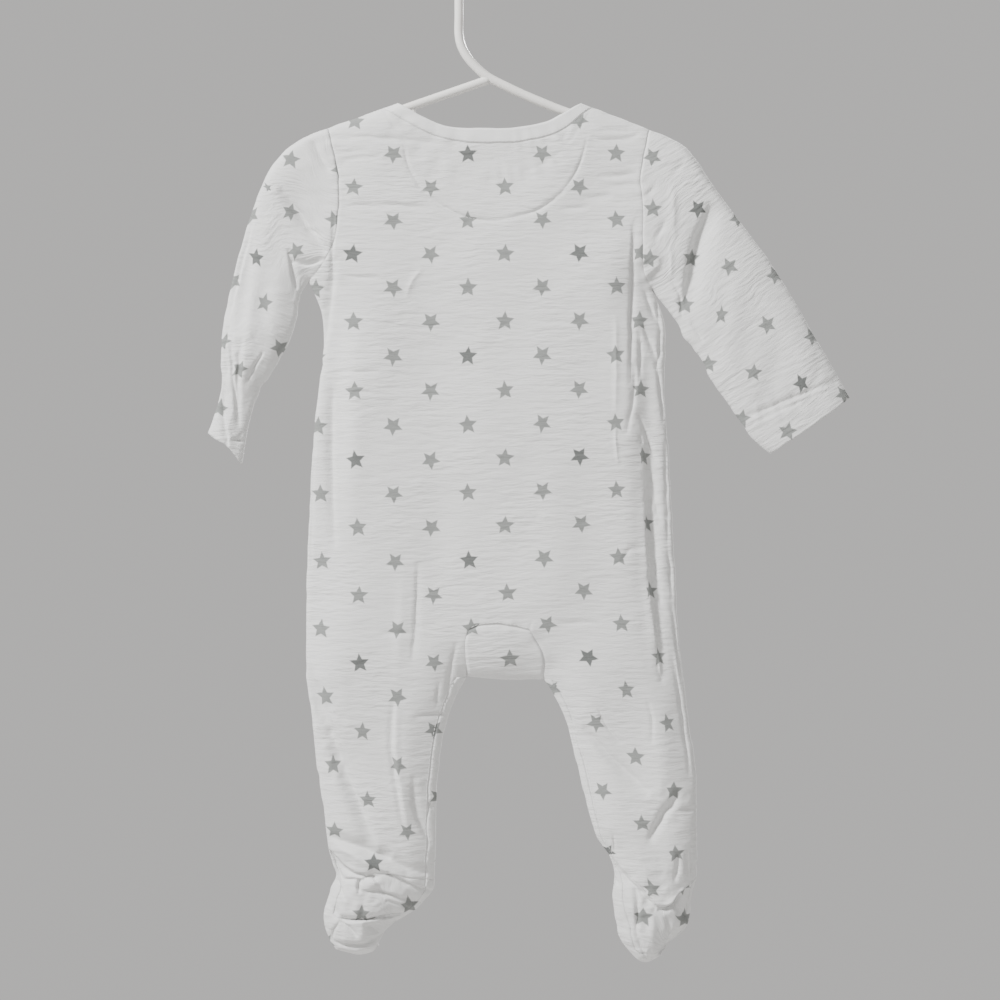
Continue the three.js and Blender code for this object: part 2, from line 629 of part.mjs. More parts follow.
function addFronts() {
  const middle = front.columnTotal / 2;
  const crotchMiddle = MIDDLE_CELLS / 2;
  const left = [
    ...cells(front.yoke, 1, (i, j) => j < middle),
    ...cells(front.body, 1, (i, j) => j < middle),
    ...cells(front.crotch, 1, (i, j) => j < crotchMiddle),
    ...cells(front.legLeft, 1, besideStrip),
  ];
  const right = [
    ...cells(front.yoke, 1, (i, j) => j >= middle),
    ...cells(front.body, 1, (i, j) => j >= middle),
    ...cells(front.crotch, 1, (i, j) => j >= crotchMiddle),
    ...rightLeg(front.legRight, 1, besideStrip),
  ];
  addPiece("front_left", clothWall(left), MUSLIN);
  addPiece("front_right", clothWall(right), MUSLIN);
}

// The leg opening's strips fold round the inner edges of the legs.
function addLegStrips() {
  const left = [...cells(back.legLeft, -1, inStrip), ...cells(front.legLeft, 1, inStrip)];
  const right = [...rightLeg(back.legRight, -1, inStrip), ...rightLeg(front.legRight, 1, inStrip)];
  addPiece("leg_strip_left", clothWall(left, { wraps: true }), MUSLIN);
  addPiece("leg_strip_right", clothWall(right, { wraps: true }), MUSLIN);
}

function addSleeve(name, sections, armhole, cuff, mirrored) {
  const rows = evenly(SLEEVE_ROWS);
  const armRows = crowded(HANGER_FOLD, YOKE_CELLS, []);
  const top = along(columnOf(sections, "topX", "topZ"), rows);
  const under = along(columnOf(sections, "underX", "underZ"), rows);
  const armLine = along(columnOf(armhole, "x", "z"), armRows);
  const end = along(columnOf(cuff, "x", "z"), crowded(EDGE, YOKE_CELLS - EDGE.length, EDGE));
  const sheet = between(armLine, end, top, under);
  const turned = mirrored ? flipped(sheet) : sheet;
  addPiece(name, clothWall([...cells(turned, -1), ...cells(turned, 1)], { wraps: true }), MUSLIN);
}

// The neckband is a loop, its shoulder ends on the silhouette.
function addNeckband() {
  const ring = (edge, seam) => between(
    along(columnOf(edge, "x", "z"), neckColumns),
    along(columnOf(seam, "x", "z"), neckColumns),
    along(shoulderLeft.slice(0, 2), evenly(NECKBAND_ROWS)),
    along(shoulderRight.slice(0, 2), evenly(NECKBAND_ROWS)),
  );
  const sheet = [
    ...cells(ring(BACK_NECK_EDGE, BACK_NECK_SEAM), -1),
    ...cells(ring(FRONT_NECK_EDGE, FRONT_NECK_SEAM), 1),
  ];
  addPiece("neckband", clothWall(sheet, { wraps: true }), BAND);
}

// The front band lies over the joint of the two fronts, on the same points moved out.
const BAND_LIFT = WALL + SEAM_GAP;

function addFrontBand() {
  const middle = front.columnTotal / 2;
  const nearMiddle = (centre) => (i, j) => j === centre - 1 || j === centre;
  const sheet = [
    ...cells(front.yoke, 1, nearMiddle(middle)),
    ...cells(front.body, 1, nearMiddle(middle)),
    ...cells(front.crotch.slice(0, CROTCH_ROWS + 1), 1, nearMiddle(MIDDLE_CELLS / 2)),
  ];
  addPiece("front_band", clothWall(sheet, { lift: BAND_LIFT }), BAND);
}

function addPoppers() {
  const middle = front.columnTotal / 2;
  const line = [...front.yoke, ...front.body.slice(1)].map((row) => row[middle]);
  const rim = [[0, 0], [POPPER_RADIUS, 0], [POPPER_RADIUS, POPPER_RIM_HEIGHT]];
  const profile = [...rim, [POPPER_CROWN.radius, POPPER_CROWN.height], [0, POPPER_HEIGHT]];
  const cap = new THREE.LatheGeometry(profile.map(([x, y]) => new THREE.Vector2(x, y)), POPPER_SIDES);
  cap.deleteAttribute("normal");
  cap.deleteAttribute("uv");
  POPPER_ROWS.forEach((row, i) => {
    const centre = line[row];
    const reach = [-POPPER_RADIUS, 0, POPPER_RADIUS].map((dz) => {
      const point = new THREE.Vector2(centre.x, centre.y + dz);
      return faces(point, 1, { lift: BAND_LIFT }).outer.y;
    });
    const popper = addPiece(`popper_${i + 1}`, mergeVertices(cap, 1e-3), POPPER);
    popper.position.set(centre.x, Math.max(...reach) + SEAM_GAP, centre.y);
  });
}

// A foot's upper goes round both its sides, and the sole fills the gap in its back.
function addFoot(name, foot, sides, cut, ankle, soleEnd, toe, mirrored) {
  const [heel, tip] = cutAt(sides, cut);
  const soleColumns = crowded(foot.outer, LEG_CELLS, foot.inner);
  const toeColumns = crowded(EDGE, LEG_CELLS, [NEAR_FOLD, 2.4, PAST_FOLD]);
  const down = (part, spacing) => ["outer", "inner"].map((edge) => along(columnOf(part, `${edge}X`, `${edge}Z`), spacing));
  const endLine = along(columnOf(soleEnd, "x", "z"), soleColumns);
  const toeLine = along(columnOf(toe, "x", "z"), toeColumns);
  const upTo = (strip) => between(
    along(columnOf(ankle, "x", "z"), legColumns(strip)), endLine, ...down(heel, evenly(foot.heelRows)),
  );
  const tipSheet = between(endLine, toeLine, ...down(tip, crowded([], foot.tipRows, EDGE)));
  const turn = mirrored ? flipped : (rows) => rows;
  const total = endLine.length - 1;
  const inSole = (i, j) => {
    const column = mirrored ? total - 1 - j : j;
    return column >= foot.outer.length && column < total - foot.inner.length;
  };
  const heelSheet = turn(upTo(BACK_STRIP));
  const upper = [
    ...cells(heelSheet, -1, (i, j) => !inSole(i, j)),
    ...cells(turn(tipSheet), -1),
    ...cells(turn(upTo(FRONT_STRIP)), 1),
    ...cells(turn(tipSheet), 1),
  ];
  addPiece(`foot_upper_${name}`, clothWall(upper, { wraps: true }), MUSLIN);
  addPiece(`sole_${name}`, clothWall(cells(heelSheet, -1, inSole)), MUSLIN);
}

// Manifold solids of closed meshes, joined into one
function joined(geometries) {
  const solids = geometries.map((geometry) => {
    const bare = geometry.index ? geometry.toNonIndexed() : geometry.clone();
    bare.deleteAttribute("normal");
    bare.deleteAttribute("uv");
    const merged = mergeVertices(bare, 1e-4);
    const mesh = new wasm.Mesh({
      numProp: 3,
      vertProperties: new Float32Array(merged.attributes.position.array),
      triVerts: new Uint32Array(merged.index.array),
    });
    return new wasm.Manifold(mesh);
  });
  const whole = solids.slice(1).reduce((sum, solid) => sum.add(solid), solids[0]).getMesh();
  const geometry = new THREE.BufferGeometry();
  geometry.setAttribute("position", new THREE.BufferAttribute(whole.vertProperties, 3));
  geometry.setIndex(new THREE.BufferAttribute(whole.triVerts, 1));
  geometry.computeVertexNormals();
  return geometry;
}

function tube(points) {
  const path = new THREE.CatmullRomCurve3(points.map(([x, z]) => new THREE.Vector3(x, 0, z)), false, "centripetal");
  const section = new THREE.Shape().absarc(0, 0, TUBE_RADIUS, 0, 2 * Math.PI, false);
  const steps = Math.round(path.getLength() / TUBE_STEP);
  return new THREE.ExtrudeGeometry(section, { steps, curveSegments: TUBE_SIDES / 2, extrudePath: path });
}

// Centre lines of the moulded hanger: the right half runs on from the hook and the stem,
// and the left arm starts inside the bend where they meet. Both end on the lower bar.
const HOOK_CENTRE = { x: 0, z: TUBE_RADIUS - HOOK_RADIUS };
const BAR_Z = -146.8;
const RIGHT_ARM = table("x z", [
  [-18.6, -57.5], [-12.5, -66.8], [-1.4, -77.0], [14.7, -85.4], [30.8, -92.7], [52.3, -101.4], [66.0, -105.6],
  [80.0, -109.6], [96.0, -114.4], [112.0, -120.8], [124.0, -126.8], [131.6, -131.6], [137.4, -136.6],
  [138.0, -142.4], [133.0, -146.0], [124.0, BAR_Z], [80.0, BAR_Z], [40.0, BAR_Z], [-4.0, BAR_Z],
]);
const LEFT_ARM = table("x z", [
  [1.0, -78.9], [-20.0, -86.2], [-57.0, -99.0], [-74.0, -105.6], [-93.0, -112.4], [-112.7, -119.2],
  [-126.0, -125.0], [-134.4, -130.4], [-139.6, -135.8], [-139.8, -142.2], [-134.6, -146.0], [-126.0, BAR_Z],
  [-80.0, BAR_Z], [-40.0, BAR_Z], [4.0, BAR_Z],
]);
const PEGS = table("x z", [[-53.2, -97.8], [52.6, -101.6]]);

function addHanger() {
  const hook = [];
  for (let angle = HOOK_END_ANGLE; angle < Math.PI; angle += Math.PI / 8) {
    hook.push([HOOK_CENTRE.x + HOOK_RADIUS * Math.cos(angle), HOOK_CENTRE.z + HOOK_RADIUS * Math.sin(angle)]);
  }
  const stem = [[STEM_X, HOOK_CENTRE.z], [STEM_X, -34], [STEM_X, -48]];
  const asPairs = (rows) => rows.map(({ x, z }) => [x, z]);
  const main = tube([...hook, ...stem, ...asPairs(RIGHT_ARM)]);
  const ball = new THREE.SphereGeometry(TUBE_RADIUS, TUBE_SIDES, TUBE_SIDES / 2).translate(hook[0][0], 0, hook[0][1]);
  const pegs = PEGS.map(({ x, z }) => (
    new THREE.CylinderGeometry(PEG_RADIUS, PEG_RADIUS, PEG_LENGTH, TUBE_SIDES)
      .rotateX(Math.PI / 2)
      .translate(x, 0, z - PEG_LENGTH / 2)
  ));
  addPiece("hanger", joined([main, tube(asPairs(LEFT_ARM)), ball, ...pegs]), PLASTIC);
}

const FEET = {
  left: { outer: [2.5, 8], inner: [1.2, 2.8, 4.5], heelRows: 4, tipRows: 2 },
  right: { outer: [0.8, 2], inner: [3, 6.5, 10], heelRows: 5, tipRows: 1 },
};

addHanger();
addNeckband();
addBackPanel();
addFronts();
addFrontBand();
addPoppers();
addLegStrips();
addSleeve("sleeve_left", SLEEVE_LEFT, ARMHOLE_LEFT, CUFF_LEFT, false);
addSleeve("sleeve_right", SLEEVE_RIGHT, ARMHOLE_RIGHT, CUFF_RIGHT, true);
addFoot("left", FEET.left, FOOT_LEFT, SOLE_ROW_LEFT, ANKLE_LEFT, SOLE_END_LEFT, TOE_LEFT, false);
addFoot("right", FEET.right, FOOT_RIGHT, SOLE_ROW_RIGHT, ANKLE_RIGHT, SOLE_END_RIGHT, TOE_RIGHT, true);

export default group;
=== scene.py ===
import math

import bmesh
import bpy
import numpy as np
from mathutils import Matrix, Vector
from mathutils.kdtree import KDTree


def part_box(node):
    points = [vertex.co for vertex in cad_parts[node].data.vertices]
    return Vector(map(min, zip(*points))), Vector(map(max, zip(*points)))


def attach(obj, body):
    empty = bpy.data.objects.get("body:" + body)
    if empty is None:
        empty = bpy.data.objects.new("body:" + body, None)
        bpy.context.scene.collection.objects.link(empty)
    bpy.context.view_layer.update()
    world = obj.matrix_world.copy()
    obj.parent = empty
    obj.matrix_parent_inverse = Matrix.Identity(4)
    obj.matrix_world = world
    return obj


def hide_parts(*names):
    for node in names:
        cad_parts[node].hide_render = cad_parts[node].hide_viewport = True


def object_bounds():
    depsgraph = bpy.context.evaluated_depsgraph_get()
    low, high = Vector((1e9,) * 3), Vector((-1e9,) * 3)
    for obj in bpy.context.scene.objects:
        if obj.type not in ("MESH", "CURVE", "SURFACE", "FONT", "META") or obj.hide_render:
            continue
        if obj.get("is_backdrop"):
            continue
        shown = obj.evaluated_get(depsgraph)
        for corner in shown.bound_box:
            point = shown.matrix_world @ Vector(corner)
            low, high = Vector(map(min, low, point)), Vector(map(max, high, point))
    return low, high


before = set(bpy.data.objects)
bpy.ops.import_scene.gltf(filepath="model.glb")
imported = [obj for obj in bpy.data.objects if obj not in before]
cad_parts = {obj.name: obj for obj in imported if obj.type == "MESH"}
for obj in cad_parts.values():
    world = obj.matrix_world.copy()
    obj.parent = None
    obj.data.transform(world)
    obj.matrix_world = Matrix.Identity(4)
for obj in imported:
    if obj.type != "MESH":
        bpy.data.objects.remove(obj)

cad_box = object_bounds()

# Camera. It stands level behind the garment's back, and the square picture takes in 700 mm
# of the plane in which the garment hangs.
VIEW_WIDTH = 0.700
VIEW_CENTRE_X = 0.0077
VIEW_CENTRE_Z = -0.3735
VIEW_DISTANCE = 1.45

camera = bpy.data.objects.new("camera", bpy.data.cameras.new("camera"))
camera.data.lens = camera.data.sensor_width * VIEW_DISTANCE / VIEW_WIDTH
camera.location = (VIEW_CENTRE_X, -VIEW_DISTANCE, VIEW_CENTRE_Z)
camera.rotation_euler = (math.pi / 2, 0, 0)
bpy.context.scene.collection.objects.link(camera)
bpy.context.scene.camera = camera

# Hanger: one bent and moulded tube of off-white plastic. It runs from the hook down the stem,
# along the right arm and the lower bar and back up the left arm into the bend under the stem.
# Two strap pegs stand down from the arms. Sizes here and on the cloth are in millimetres.
MM = 0.001
TUBE_RADIUS = 3.15
HOOK_RADIUS = 21.0
HOOK_END_ANGLE = -0.26
STEM_X = -21.0
HOOK_CENTRE_Z = TUBE_RADIUS - HOOK_RADIUS
BAR_Z = -146.8
PEG_RADIUS = 1.9
PEG_LENGTH = 14.0
TUBE_SIDES = 24
TUBE_STEP = 1.8
TUBE_END_RINGS = 6
TUBE_END_WIDTH = 0.02


def table(columns, rows):
    """A table as one array for each named column."""
    return dict(zip(columns.split(), np.array(rows, float).T))


def line_of(rows, x, z):
    """The flat points that two columns of a table give: x across and z up."""
    return np.column_stack([rows[x], rows[z]])


RIGHT_ARM = table("x z", [
    (-18.6, -57.5), (-12.5, -66.8), (-1.4, -77.0), (14.7, -85.4), (30.8, -92.7), (52.3, -101.4),
    (66.0, -105.6), (80.0, -109.6), (96.0, -114.4), (112.0, -120.8), (124.0, -126.8), (131.6, -131.6),
    (137.4, -136.6),
    (138.0, -142.4), (133.0, -146.0), (124.0, BAR_Z), (80.0, BAR_Z), (40.0, BAR_Z), (0.0, BAR_Z),
])
LEFT_ARM = table("x z", [
    (-40.0, BAR_Z), (-80.0, BAR_Z), (-126.0, BAR_Z), (-134.6, -146.0), (-139.8, -142.2), (-139.6, -135.8),
    (-134.4, -130.4), (-126.0, -125.0), (-112.7, -119.2), (-93.0, -112.4), (-74.0, -105.6), (-57.0, -99.0),
    (-20.0, -86.2), (1.0, -78.9),
])
PEGS = table("x z", [(-53.2, -97.8), (52.6, -101.6)])


def smooth_line(points, parts=24):
    """The smooth line through flat points, in short straight parts."""
    padded = np.vstack([points[:1], points, points[-1:]])
    t = np.linspace(0, 1, parts, endpoint=False)[:, None]
    stretches = []
    for before, start, end, after in zip(padded, padded[1:], padded[2:], padded[3:]):
        leave, arrive = (end - before) / 2, (after - start) / 2
        cubic = 2 * (start - end) + leave + arrive
        square = 3 * (end - start) - 2 * leave - arrive
        stretches.append((cubic * t + square) * t * t + leave * t + start)
    return np.vstack([*stretches, points[-1:]])


def run_of(line):
    """Distance along a line at each of its points."""
    return np.concatenate([[0], np.cumsum(np.linalg.norm(np.diff(line, axis=0), axis=1))])


def walk(points, spacing):
    """Points on the smooth line through the given ones, spaced from its start."""
    line = smooth_line(np.asarray(points, float))
    run = run_of(line)
    distances = spacing(run[-1])
    return np.column_stack([np.interp(distances, run, line[:, 0]), np.interp(distances, run, line[:, 1])])


def rounding(reach, count):
    """Distances from an edge that crowd towards it, up to a reach."""
    return reach * (1 - np.cos(np.pi / 2 * np.arange(1, count + 1) / count))


def evenly(cells):
    return lambda length: np.linspace(0, length, cells + 1)


def crowded(start, cells, end):
    """Distances that crowd at the start and the end of a line, with even cells between."""
    def spacing(length):
        head, tail = np.append(0, start), length - np.append(0, end)[::-1]
        middle = np.linspace(head[-1], tail[0], cells + 1)[1:-1]
        return np.concatenate([head, middle, tail])
    return spacing


def tube(points, radius):
    """Points and faces of a round-ended tube along a line in the plane of the hanger."""
    ends = rounding(radius, TUBE_END_RINGS)
    length = run_of(smooth_line(points))[-1]
    line = walk(points, crowded(ends, round(length / TUBE_STEP), ends))
    run = run_of(line)
    inside = np.clip(radius - np.minimum(run, run[-1] - run), 0, radius)
    width = np.maximum(np.sqrt(radius ** 2 - inside ** 2), radius * TUBE_END_WIDTH)
    forward = np.gradient(line, axis=0)
    forward /= np.linalg.norm(forward, axis=1)[:, None]
    turn = np.linspace(0, 2 * np.pi, TUBE_SIDES, endpoint=False)
    out, deep = np.outer(width, np.cos(turn)), np.outer(width, np.sin(turn))
    x = line[:, :1] - forward[:, 1:] * out
    z = line[:, 1:] + forward[:, :1] * out
    corner = np.arange(x.size).reshape(x.shape)
    beside = np.roll(corner, -1, axis=1)
    sides = np.stack([corner[:-1], corner[1:], beside[1:], beside[:-1]], axis=-1).reshape(-1, 4)
    ends = [corner[0].tolist(), corner[-1][::-1].tolist()]
    return np.stack([x, deep, z], axis=-1).reshape(-1, 3), sides.tolist() + ends


def new_piece(name, points, faces, material):
    """An object of the scene from points in millimetres."""
    mesh = bpy.data.meshes.new(name)
    mesh.from_pydata((np.asarray(points) * MM).tolist(), [], faces)
    mesh.polygons.foreach_set("use_smooth", [True] * len(mesh.polygons))
    mesh.materials.append(material)
    piece = bpy.data.objects.new(name, mesh)
    bpy.context.scene.collection.objects.link(piece)
    return piece


def tidy_mesh(piece, merge=0.0):
    """Merges points that lie together and turns closed shells outwards."""
    shape = bmesh.new()
    shape.from_mesh(piece.data)
    bmesh.ops.remove_doubles(shape, verts=shape.verts, dist=merge)
    bmesh.ops.recalc_face_normals(shape, faces=shape.faces)
    shape.to_mesh(piece.data)
    shape.free()


class Value:
    """A number that changes over a surface. Arithmetic on it adds Math nodes."""

    def __init__(self, finish, socket):
        self.finish, self.socket = finish, socket

    def __add__(self, other):
        return self.finish.maths("ADD", self, other)

    def __sub__(self, other):
        return self.finish.maths("SUBTRACT", self, other)

    def __rsub__(self, other):
        return self.finish.maths("SUBTRACT", other, self)

    def __mul__(self, other):
        return self.finish.maths("MULTIPLY", self, other)

    def __truediv__(self, other):
        return self.finish.maths("DIVIDE", self, other)

    __radd__, __rmul__ = __add__, __mul__


class Finish:
    """A material with its shader. Its add method makes any node from a type, settings and sockets."""

    def __init__(self, name, roughness, **numbers):
        self.material = bpy.data.materials.new(name)
        self.material.use_nodes = True
        self.nodes, self.links = self.material.node_tree.nodes, self.material.node_tree.links
        self.shader = self.nodes["Principled BSDF"]
        self.put(self.shader, {"Roughness": roughness, **numbers})

    def put(self, node, sockets):
        for key, value in sockets.items():
            socket = node.inputs[key]
            if isinstance(value, Value):
                self.links.new(value.socket, socket)
            else:
                socket.default_value = value

    def add(self, kind, settings=None, sockets=None, output=0):
        node = self.nodes.new("ShaderNode" + kind)
        for key, value in (settings or {}).items():
            setattr(node, key, value)
        self.put(node, sockets or {})
        return Value(self, node.outputs[output])

    def maths(self, operation, *values):
        return self.add("Math", {"operation": operation}, dict(enumerate(values)))

    def mix(self, share, first, second):
        """A colour between two, where each is a link or three numbers."""
        pair = {6: first, 7: second}
        sockets = {key: value if isinstance(value, Value) else (*value, 1) for key, value in pair.items()}
        return self.add("Mix", {"data_type": "RGBA"}, {0: share, **sockets}, output=2)

    def noise(self, place, scale, detail=2.0):
        """Soft noise from 0 to 1."""
        return self.add("TexNoise", sockets={"Vector": place, "Scale": scale, "Detail": detail})

    def bump(self, height, distance, strength=1.0):
        """Raises the surface by a height from 0 to 1 times a distance in metres."""
        normal = self.add("Bump", sockets={"Height": height, "Distance": distance, "Strength": strength})
        self.put(self.shader, {"Normal": normal})


def hanger_plastic():
    finish = Finish("hanger_plastic", 0.24, IOR=1.49)
    place = finish.add("TexCoord", output=3)
    cloudy = finish.noise(place, 60.0)
    finish.put(finish.shader, {
        "Base Color": finish.mix(cloudy, (0.68, 0.665, 0.635), (0.74, 0.73, 0.70)),
        "Roughness": 0.2 + 0.12 * finish.noise(place, 240.0),
    })
    finish.bump(finish.noise(place, 900.0), 0.00004)
    return finish.material


def make_hanger():
    hook = [(HOOK_RADIUS * math.cos(turn), HOOK_CENTRE_Z + HOOK_RADIUS * math.sin(turn))
            for turn in np.arange(HOOK_END_ANGLE, math.pi, math.pi / 8)]
    stem = [(STEM_X, HOOK_CENTRE_Z), (STEM_X, -34), (STEM_X, -48)]
    frame_line = np.vstack([hook, stem, line_of(RIGHT_ARM, "x", "z"), line_of(LEFT_ARM, "x", "z")])
    pegs = [np.array([(x, z), (x, z - PEG_LENGTH)]) for x, z in line_of(PEGS, "x", "z")]
    points, faces = tube(frame_line, TUBE_RADIUS)
    for peg in pegs:
        more, sides = tube(peg, PEG_RADIUS)
        faces += [[corner + len(points) for corner in side] for side in sides]
        points = np.vstack([points, more])
    piece = new_piece("hanger_tube", points, faces, hanger_plastic())
    tidy_mesh(piece)
    return piece


hanger = make_hanger()
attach(hanger, "root")
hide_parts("hanger")

# Neckband: a plain cotton binding about 10 mm wide, folded over the neck edge and sewn on as
# a loop. It is the first piece of cloth, so what gives all of the cloth its form comes here:
# the outline of the hanging garment, how far it stands out, and its folds.
WALL = 1.5
SEAM_GAP = 0.3
SEWN_GAP = 0.08
FOLD_FADE = 15.0
BODY_GRIP = 3
CLOTH_THICKNESS = 0.7

SHOULDERS = table("left_x left_z right_x right_z", [
    (-64.4, -96.0, 64.4, -96.0),
    (-74.0, -99.4, 72.0, -98.9),
    (-93.0, -106.4, 92.0, -106.2),
    (-112.7, -113.2, 112.0, -114.6),
])
SLEEVE_LEFT = table("top_x top_z under_x under_z", [
    (-112.7, -113.2, -126.0, -221.0),
    (-126.5, -118.4, -131.6, -229.0),
    (-142.1, -128.4, -134.6, -246.0),
    (-153.0, -141.4, -138.6, -260.0),
    (-160.8, -158.5, -145.0, -272.6),
    (-171.0, -187.0, -153.3, -285.9),
    (-180.6, -225.0, -159.6, -295.8),
    (-187.6, -262.8, -164.5, -308.0),
    (-187.4, -297.0, -168.8, -326.0),
    (-196.7, -326.6, -173.0, -348.3),
])
SLEEVE_RIGHT = table("top_x top_z under_x under_z", [
    (112.0, -114.6, 114.1, -226.4),
    (125.5, -119.8, 124.6, -240.0),
    (136.5, -126.0, 131.0, -248.4),
    (146.0, -137.0, 137.4, -260.8),
    (157.1, -153.6, 148.4, -274.8),
    (174.0, -176.5, 154.5, -288.0),
    (193.2, -201.9, 165.9, -304.1),
    (212.0, -231.5, 177.1, -320.9),
    (231.7, -265.6, 187.0, -333.0),
    (252.7, -302.0, 196.7, -341.3),
])
SIDES = table("left_x left_z right_x right_z", [
    (-126.0, -221.0, 114.1, -226.4),
    (-118.0, -239.0, 119.4, -238.5),
    (-115.6, -256.0, 123.2, -254.0),
    (-116.4, -276.0, 123.2, -276.0),
    (-120.0, -302.0, 122.8, -302.0),
    (-123.6, -342.0, 125.8, -344.0),
    (-126.0, -392.0, 128.2, -392.0),
    (-127.6, -432.0, 130.6, -430.0),
    (-128.1, -463.0, 132.2, -464.0),
])
LEG_LEFT = table("outer_x outer_z inner_x inner_z", [
    (-128.0, -497.0, -15.4, -496.8),
    (-125.8, -513.0, -22.8, -510.5),
    (-123.4, -534.0, -30.4, -531.0),
    (-120.6, -558.0, -34.8, -558.0),
    (-116.2, -586.0, -37.0, -586.0),
    (-114.0, -604.0, -37.0, -612.0),
    (-112.3, -617.5, -38.2, -639.5),
])
LEG_RIGHT = table("outer_x outer_z inner_x inner_z", [
    (136.0, -497.0, 37.8, -498.7),
    (137.6, -512.0, 46.6, -512.0),
    (140.2, -532.0, 54.6, -531.0),
    (143.8, -555.0, 60.9, -555.4),
    (145.5, -578.0, 66.8, -580.0),
    (145.3, -600.0, 73.0, -603.0),
    (145.6, -622.0, 78.6, -614.0),
    (145.8, -637.3, 84.0, -622.0),
])
FOOT_LEFT = table("outer_x outer_z inner_x inner_z", [
    (-112.3, -617.5, -38.2, -639.5),
    (-109.6, -627.0, -39.4, -647.0),
    (-107.4, -635.9, -45.5, -654.6),
    (-111.4, -647.0, -50.5, -660.0),
    (-115.8, -660.0, -55.5, -664.4),
    (-116.2, -669.0, -65.8, -670.2),
    (-113.8, -679.5, -73.8, -677.6),
    (-107.8, -689.5, -78.0, -687.0),
])
FOOT_RIGHT = table("outer_x outer_z inner_x inner_z", [
    (145.8, -637.3, 84.0, -622.0),
    (142.6, -648.0, 88.0, -634.9),
    (141.2, -656.0, 86.9, -650.0),
    (141.6, -664.0, 88.4, -664.0),
    (137.6, -675.0, 90.6, -676.5),
    (127.0, -684.5, 94.0, -685.0),
    (121.0, -693.6, 101.0, -693.6),
])
SOLE_ROW_LEFT = 4
SOLE_ROW_RIGHT = 5

ARMHOLE_LEFT = table("x z", [
    (-112.7, -113.2), (-105.0, -147.0), (-104.8, -172.0), (-108.0, -194.0), (-116.5, -209.5),
    (-126.0, -221.0),
])
ARMHOLE_RIGHT = table("x z", [
    (112.0, -114.6), (105.8, -146.0), (107.0, -165.0), (107.1, -194.0), (108.4, -215.0), (114.1, -226.4),
])
BACK_NECK_SEAM = table("x z", [
    (-74.0, -99.4), (-57.4, -110.2), (-43.0, -117.6), (-30.1, -122.1), (-11.9, -124.7),
    (4.9, -124.9), (20.3, -124.2), (39.2, -120.7), (53.2, -114.4), (72.0, -98.9),
])
BACK_NECK_EDGE = table("x z", [
    (-64.4, -96.0), (-51.8, -103.2), (-39.9, -109.2), (-28.0, -113.2), (-11.9, -114.4),
    (4.9, -114.4), (20.3, -113.7), (36.4, -110.7), (49.0, -105.3), (64.4, -96.0),
])
FRONT_NECK_SEAM = table("x z", [
    (-74.0, -99.4), (-66.0, -113.0), (-52.0, -130.0), (-32.0, -143.0), (-10.0, -148.4),
    (10.0, -148.4), (31.0, -142.6), (51.0, -129.0), (64.5, -112.0), (72.0, -98.9),
])
FRONT_NECK_EDGE = table("x z", [
    (-64.4, -96.0), (-58.0, -108.0), (-46.0, -122.0), (-28.0, -133.6), (-9.0, -138.4),
    (9.0, -138.4), (28.0, -133.4), (45.5, -121.5), (57.5, -107.5), (64.4, -96.0),
])
GUSSET_TOP = table("x z", [(-13.4, -463.6), (-2.8, -460.4), (7.7, -460.2), (18.2, -461.4), (28.9, -464.4)])
GUSSET_LEFT = table("x z", [(-13.4, -463.6), (-16.8, -473.0), (-15.4, -496.8)])
GUSSET_RIGHT = table("x z", [(28.9, -464.4), (38.6, -483.0), (37.8, -498.7)])
CROTCH = table("x z", [(-15.4, -496.8), (11.0, -499.4), (37.8, -498.7)])
ANKLE_LEFT = table("x z", [
    (-112.3, -617.5), (-97.3, -630.6), (-77.0, -633.4), (-58.0, -636.4), (-38.2, -639.5),
])
ANKLE_RIGHT = table("x z", [
    (145.8, -637.3), (135.0, -646.4), (128.4, -655.0), (120.0, -658.0), (111.8, -650.0),
    (102.0, -640.0), (84.0, -622.0),
])
SOLE_END_LEFT = table("x z", [
    (-115.8, -660.0), (-104.3, -665.0), (-85.4, -665.9), (-67.2, -662.2), (-55.5, -664.4),
])
SOLE_END_RIGHT = table("x z", [(127.0, -684.5), (117.0, -690.5), (106.0, -690.5), (94.0, -685.0)])
TOE_LEFT = table("x z", [(-107.8, -689.5), (-93.0, -693.4), (-83.0, -691.4), (-78.0, -687.0)])
TOE_RIGHT = table("x z", [(121.0, -693.6), (112.0, -698.6), (106.0, -697.9), (101.0, -693.6)])
CUFF_LEFT = table("x z", [(-196.7, -326.6), (-190.0, -331.9), (-182.3, -336.4), (-173.0, -348.3)])
CUFF_RIGHT = table("x z", [(252.7, -302.0), (230.7, -318.2), (212.0, -330.8), (196.7, -341.3)])

HEM_LEFT = table("x z", [(-191.0, -309.0), (-184.0, -318.0), (-177.0, -330.0), (-169.4, -332.9)])
HEM_RIGHT = table("x z", [
    (179.2, -315.8), (195.0, -311.9), (214.6, -302.1), (230.3, -294.4), (242.1, -291.3),
])

# Half the depth of the hollow by height, and the distance from the outline over which the
# cloth rises to it. Where it hangs on the hanger its fold is rounder.
BODY_DEPTH = table("z half spread", [
    (-90, 5.6, 18), (-150, 6.2, 20), (-210, 9.0, 34), (-300, 10.4, 44), (-440, 11.0, 42),
    (-500, 10.4, 28), (-560, 9.2, 24), (-610, 9.6, 22), (-650, 12.0, 18), (-700, 11.0, 14),
])
SLEEVE_HALF, SLEEVE_SPREAD = 6.8, 18.0
SLEEVE_FROM, SLEEVE_TO, SLEEVE_LOWEST = 108.0, 150.0, -380.0
FOLD_RADIUS_AT_HANGER, FOLD_RADIUS_BELOW = 3.8, 1.7
HANGER_FOLD_FROM, HANGER_FOLD_TO = -146.0, -200.0
FEET_SHIFT, FEET_FROM, FEET_TO = 8.0, -600.0, -690.0


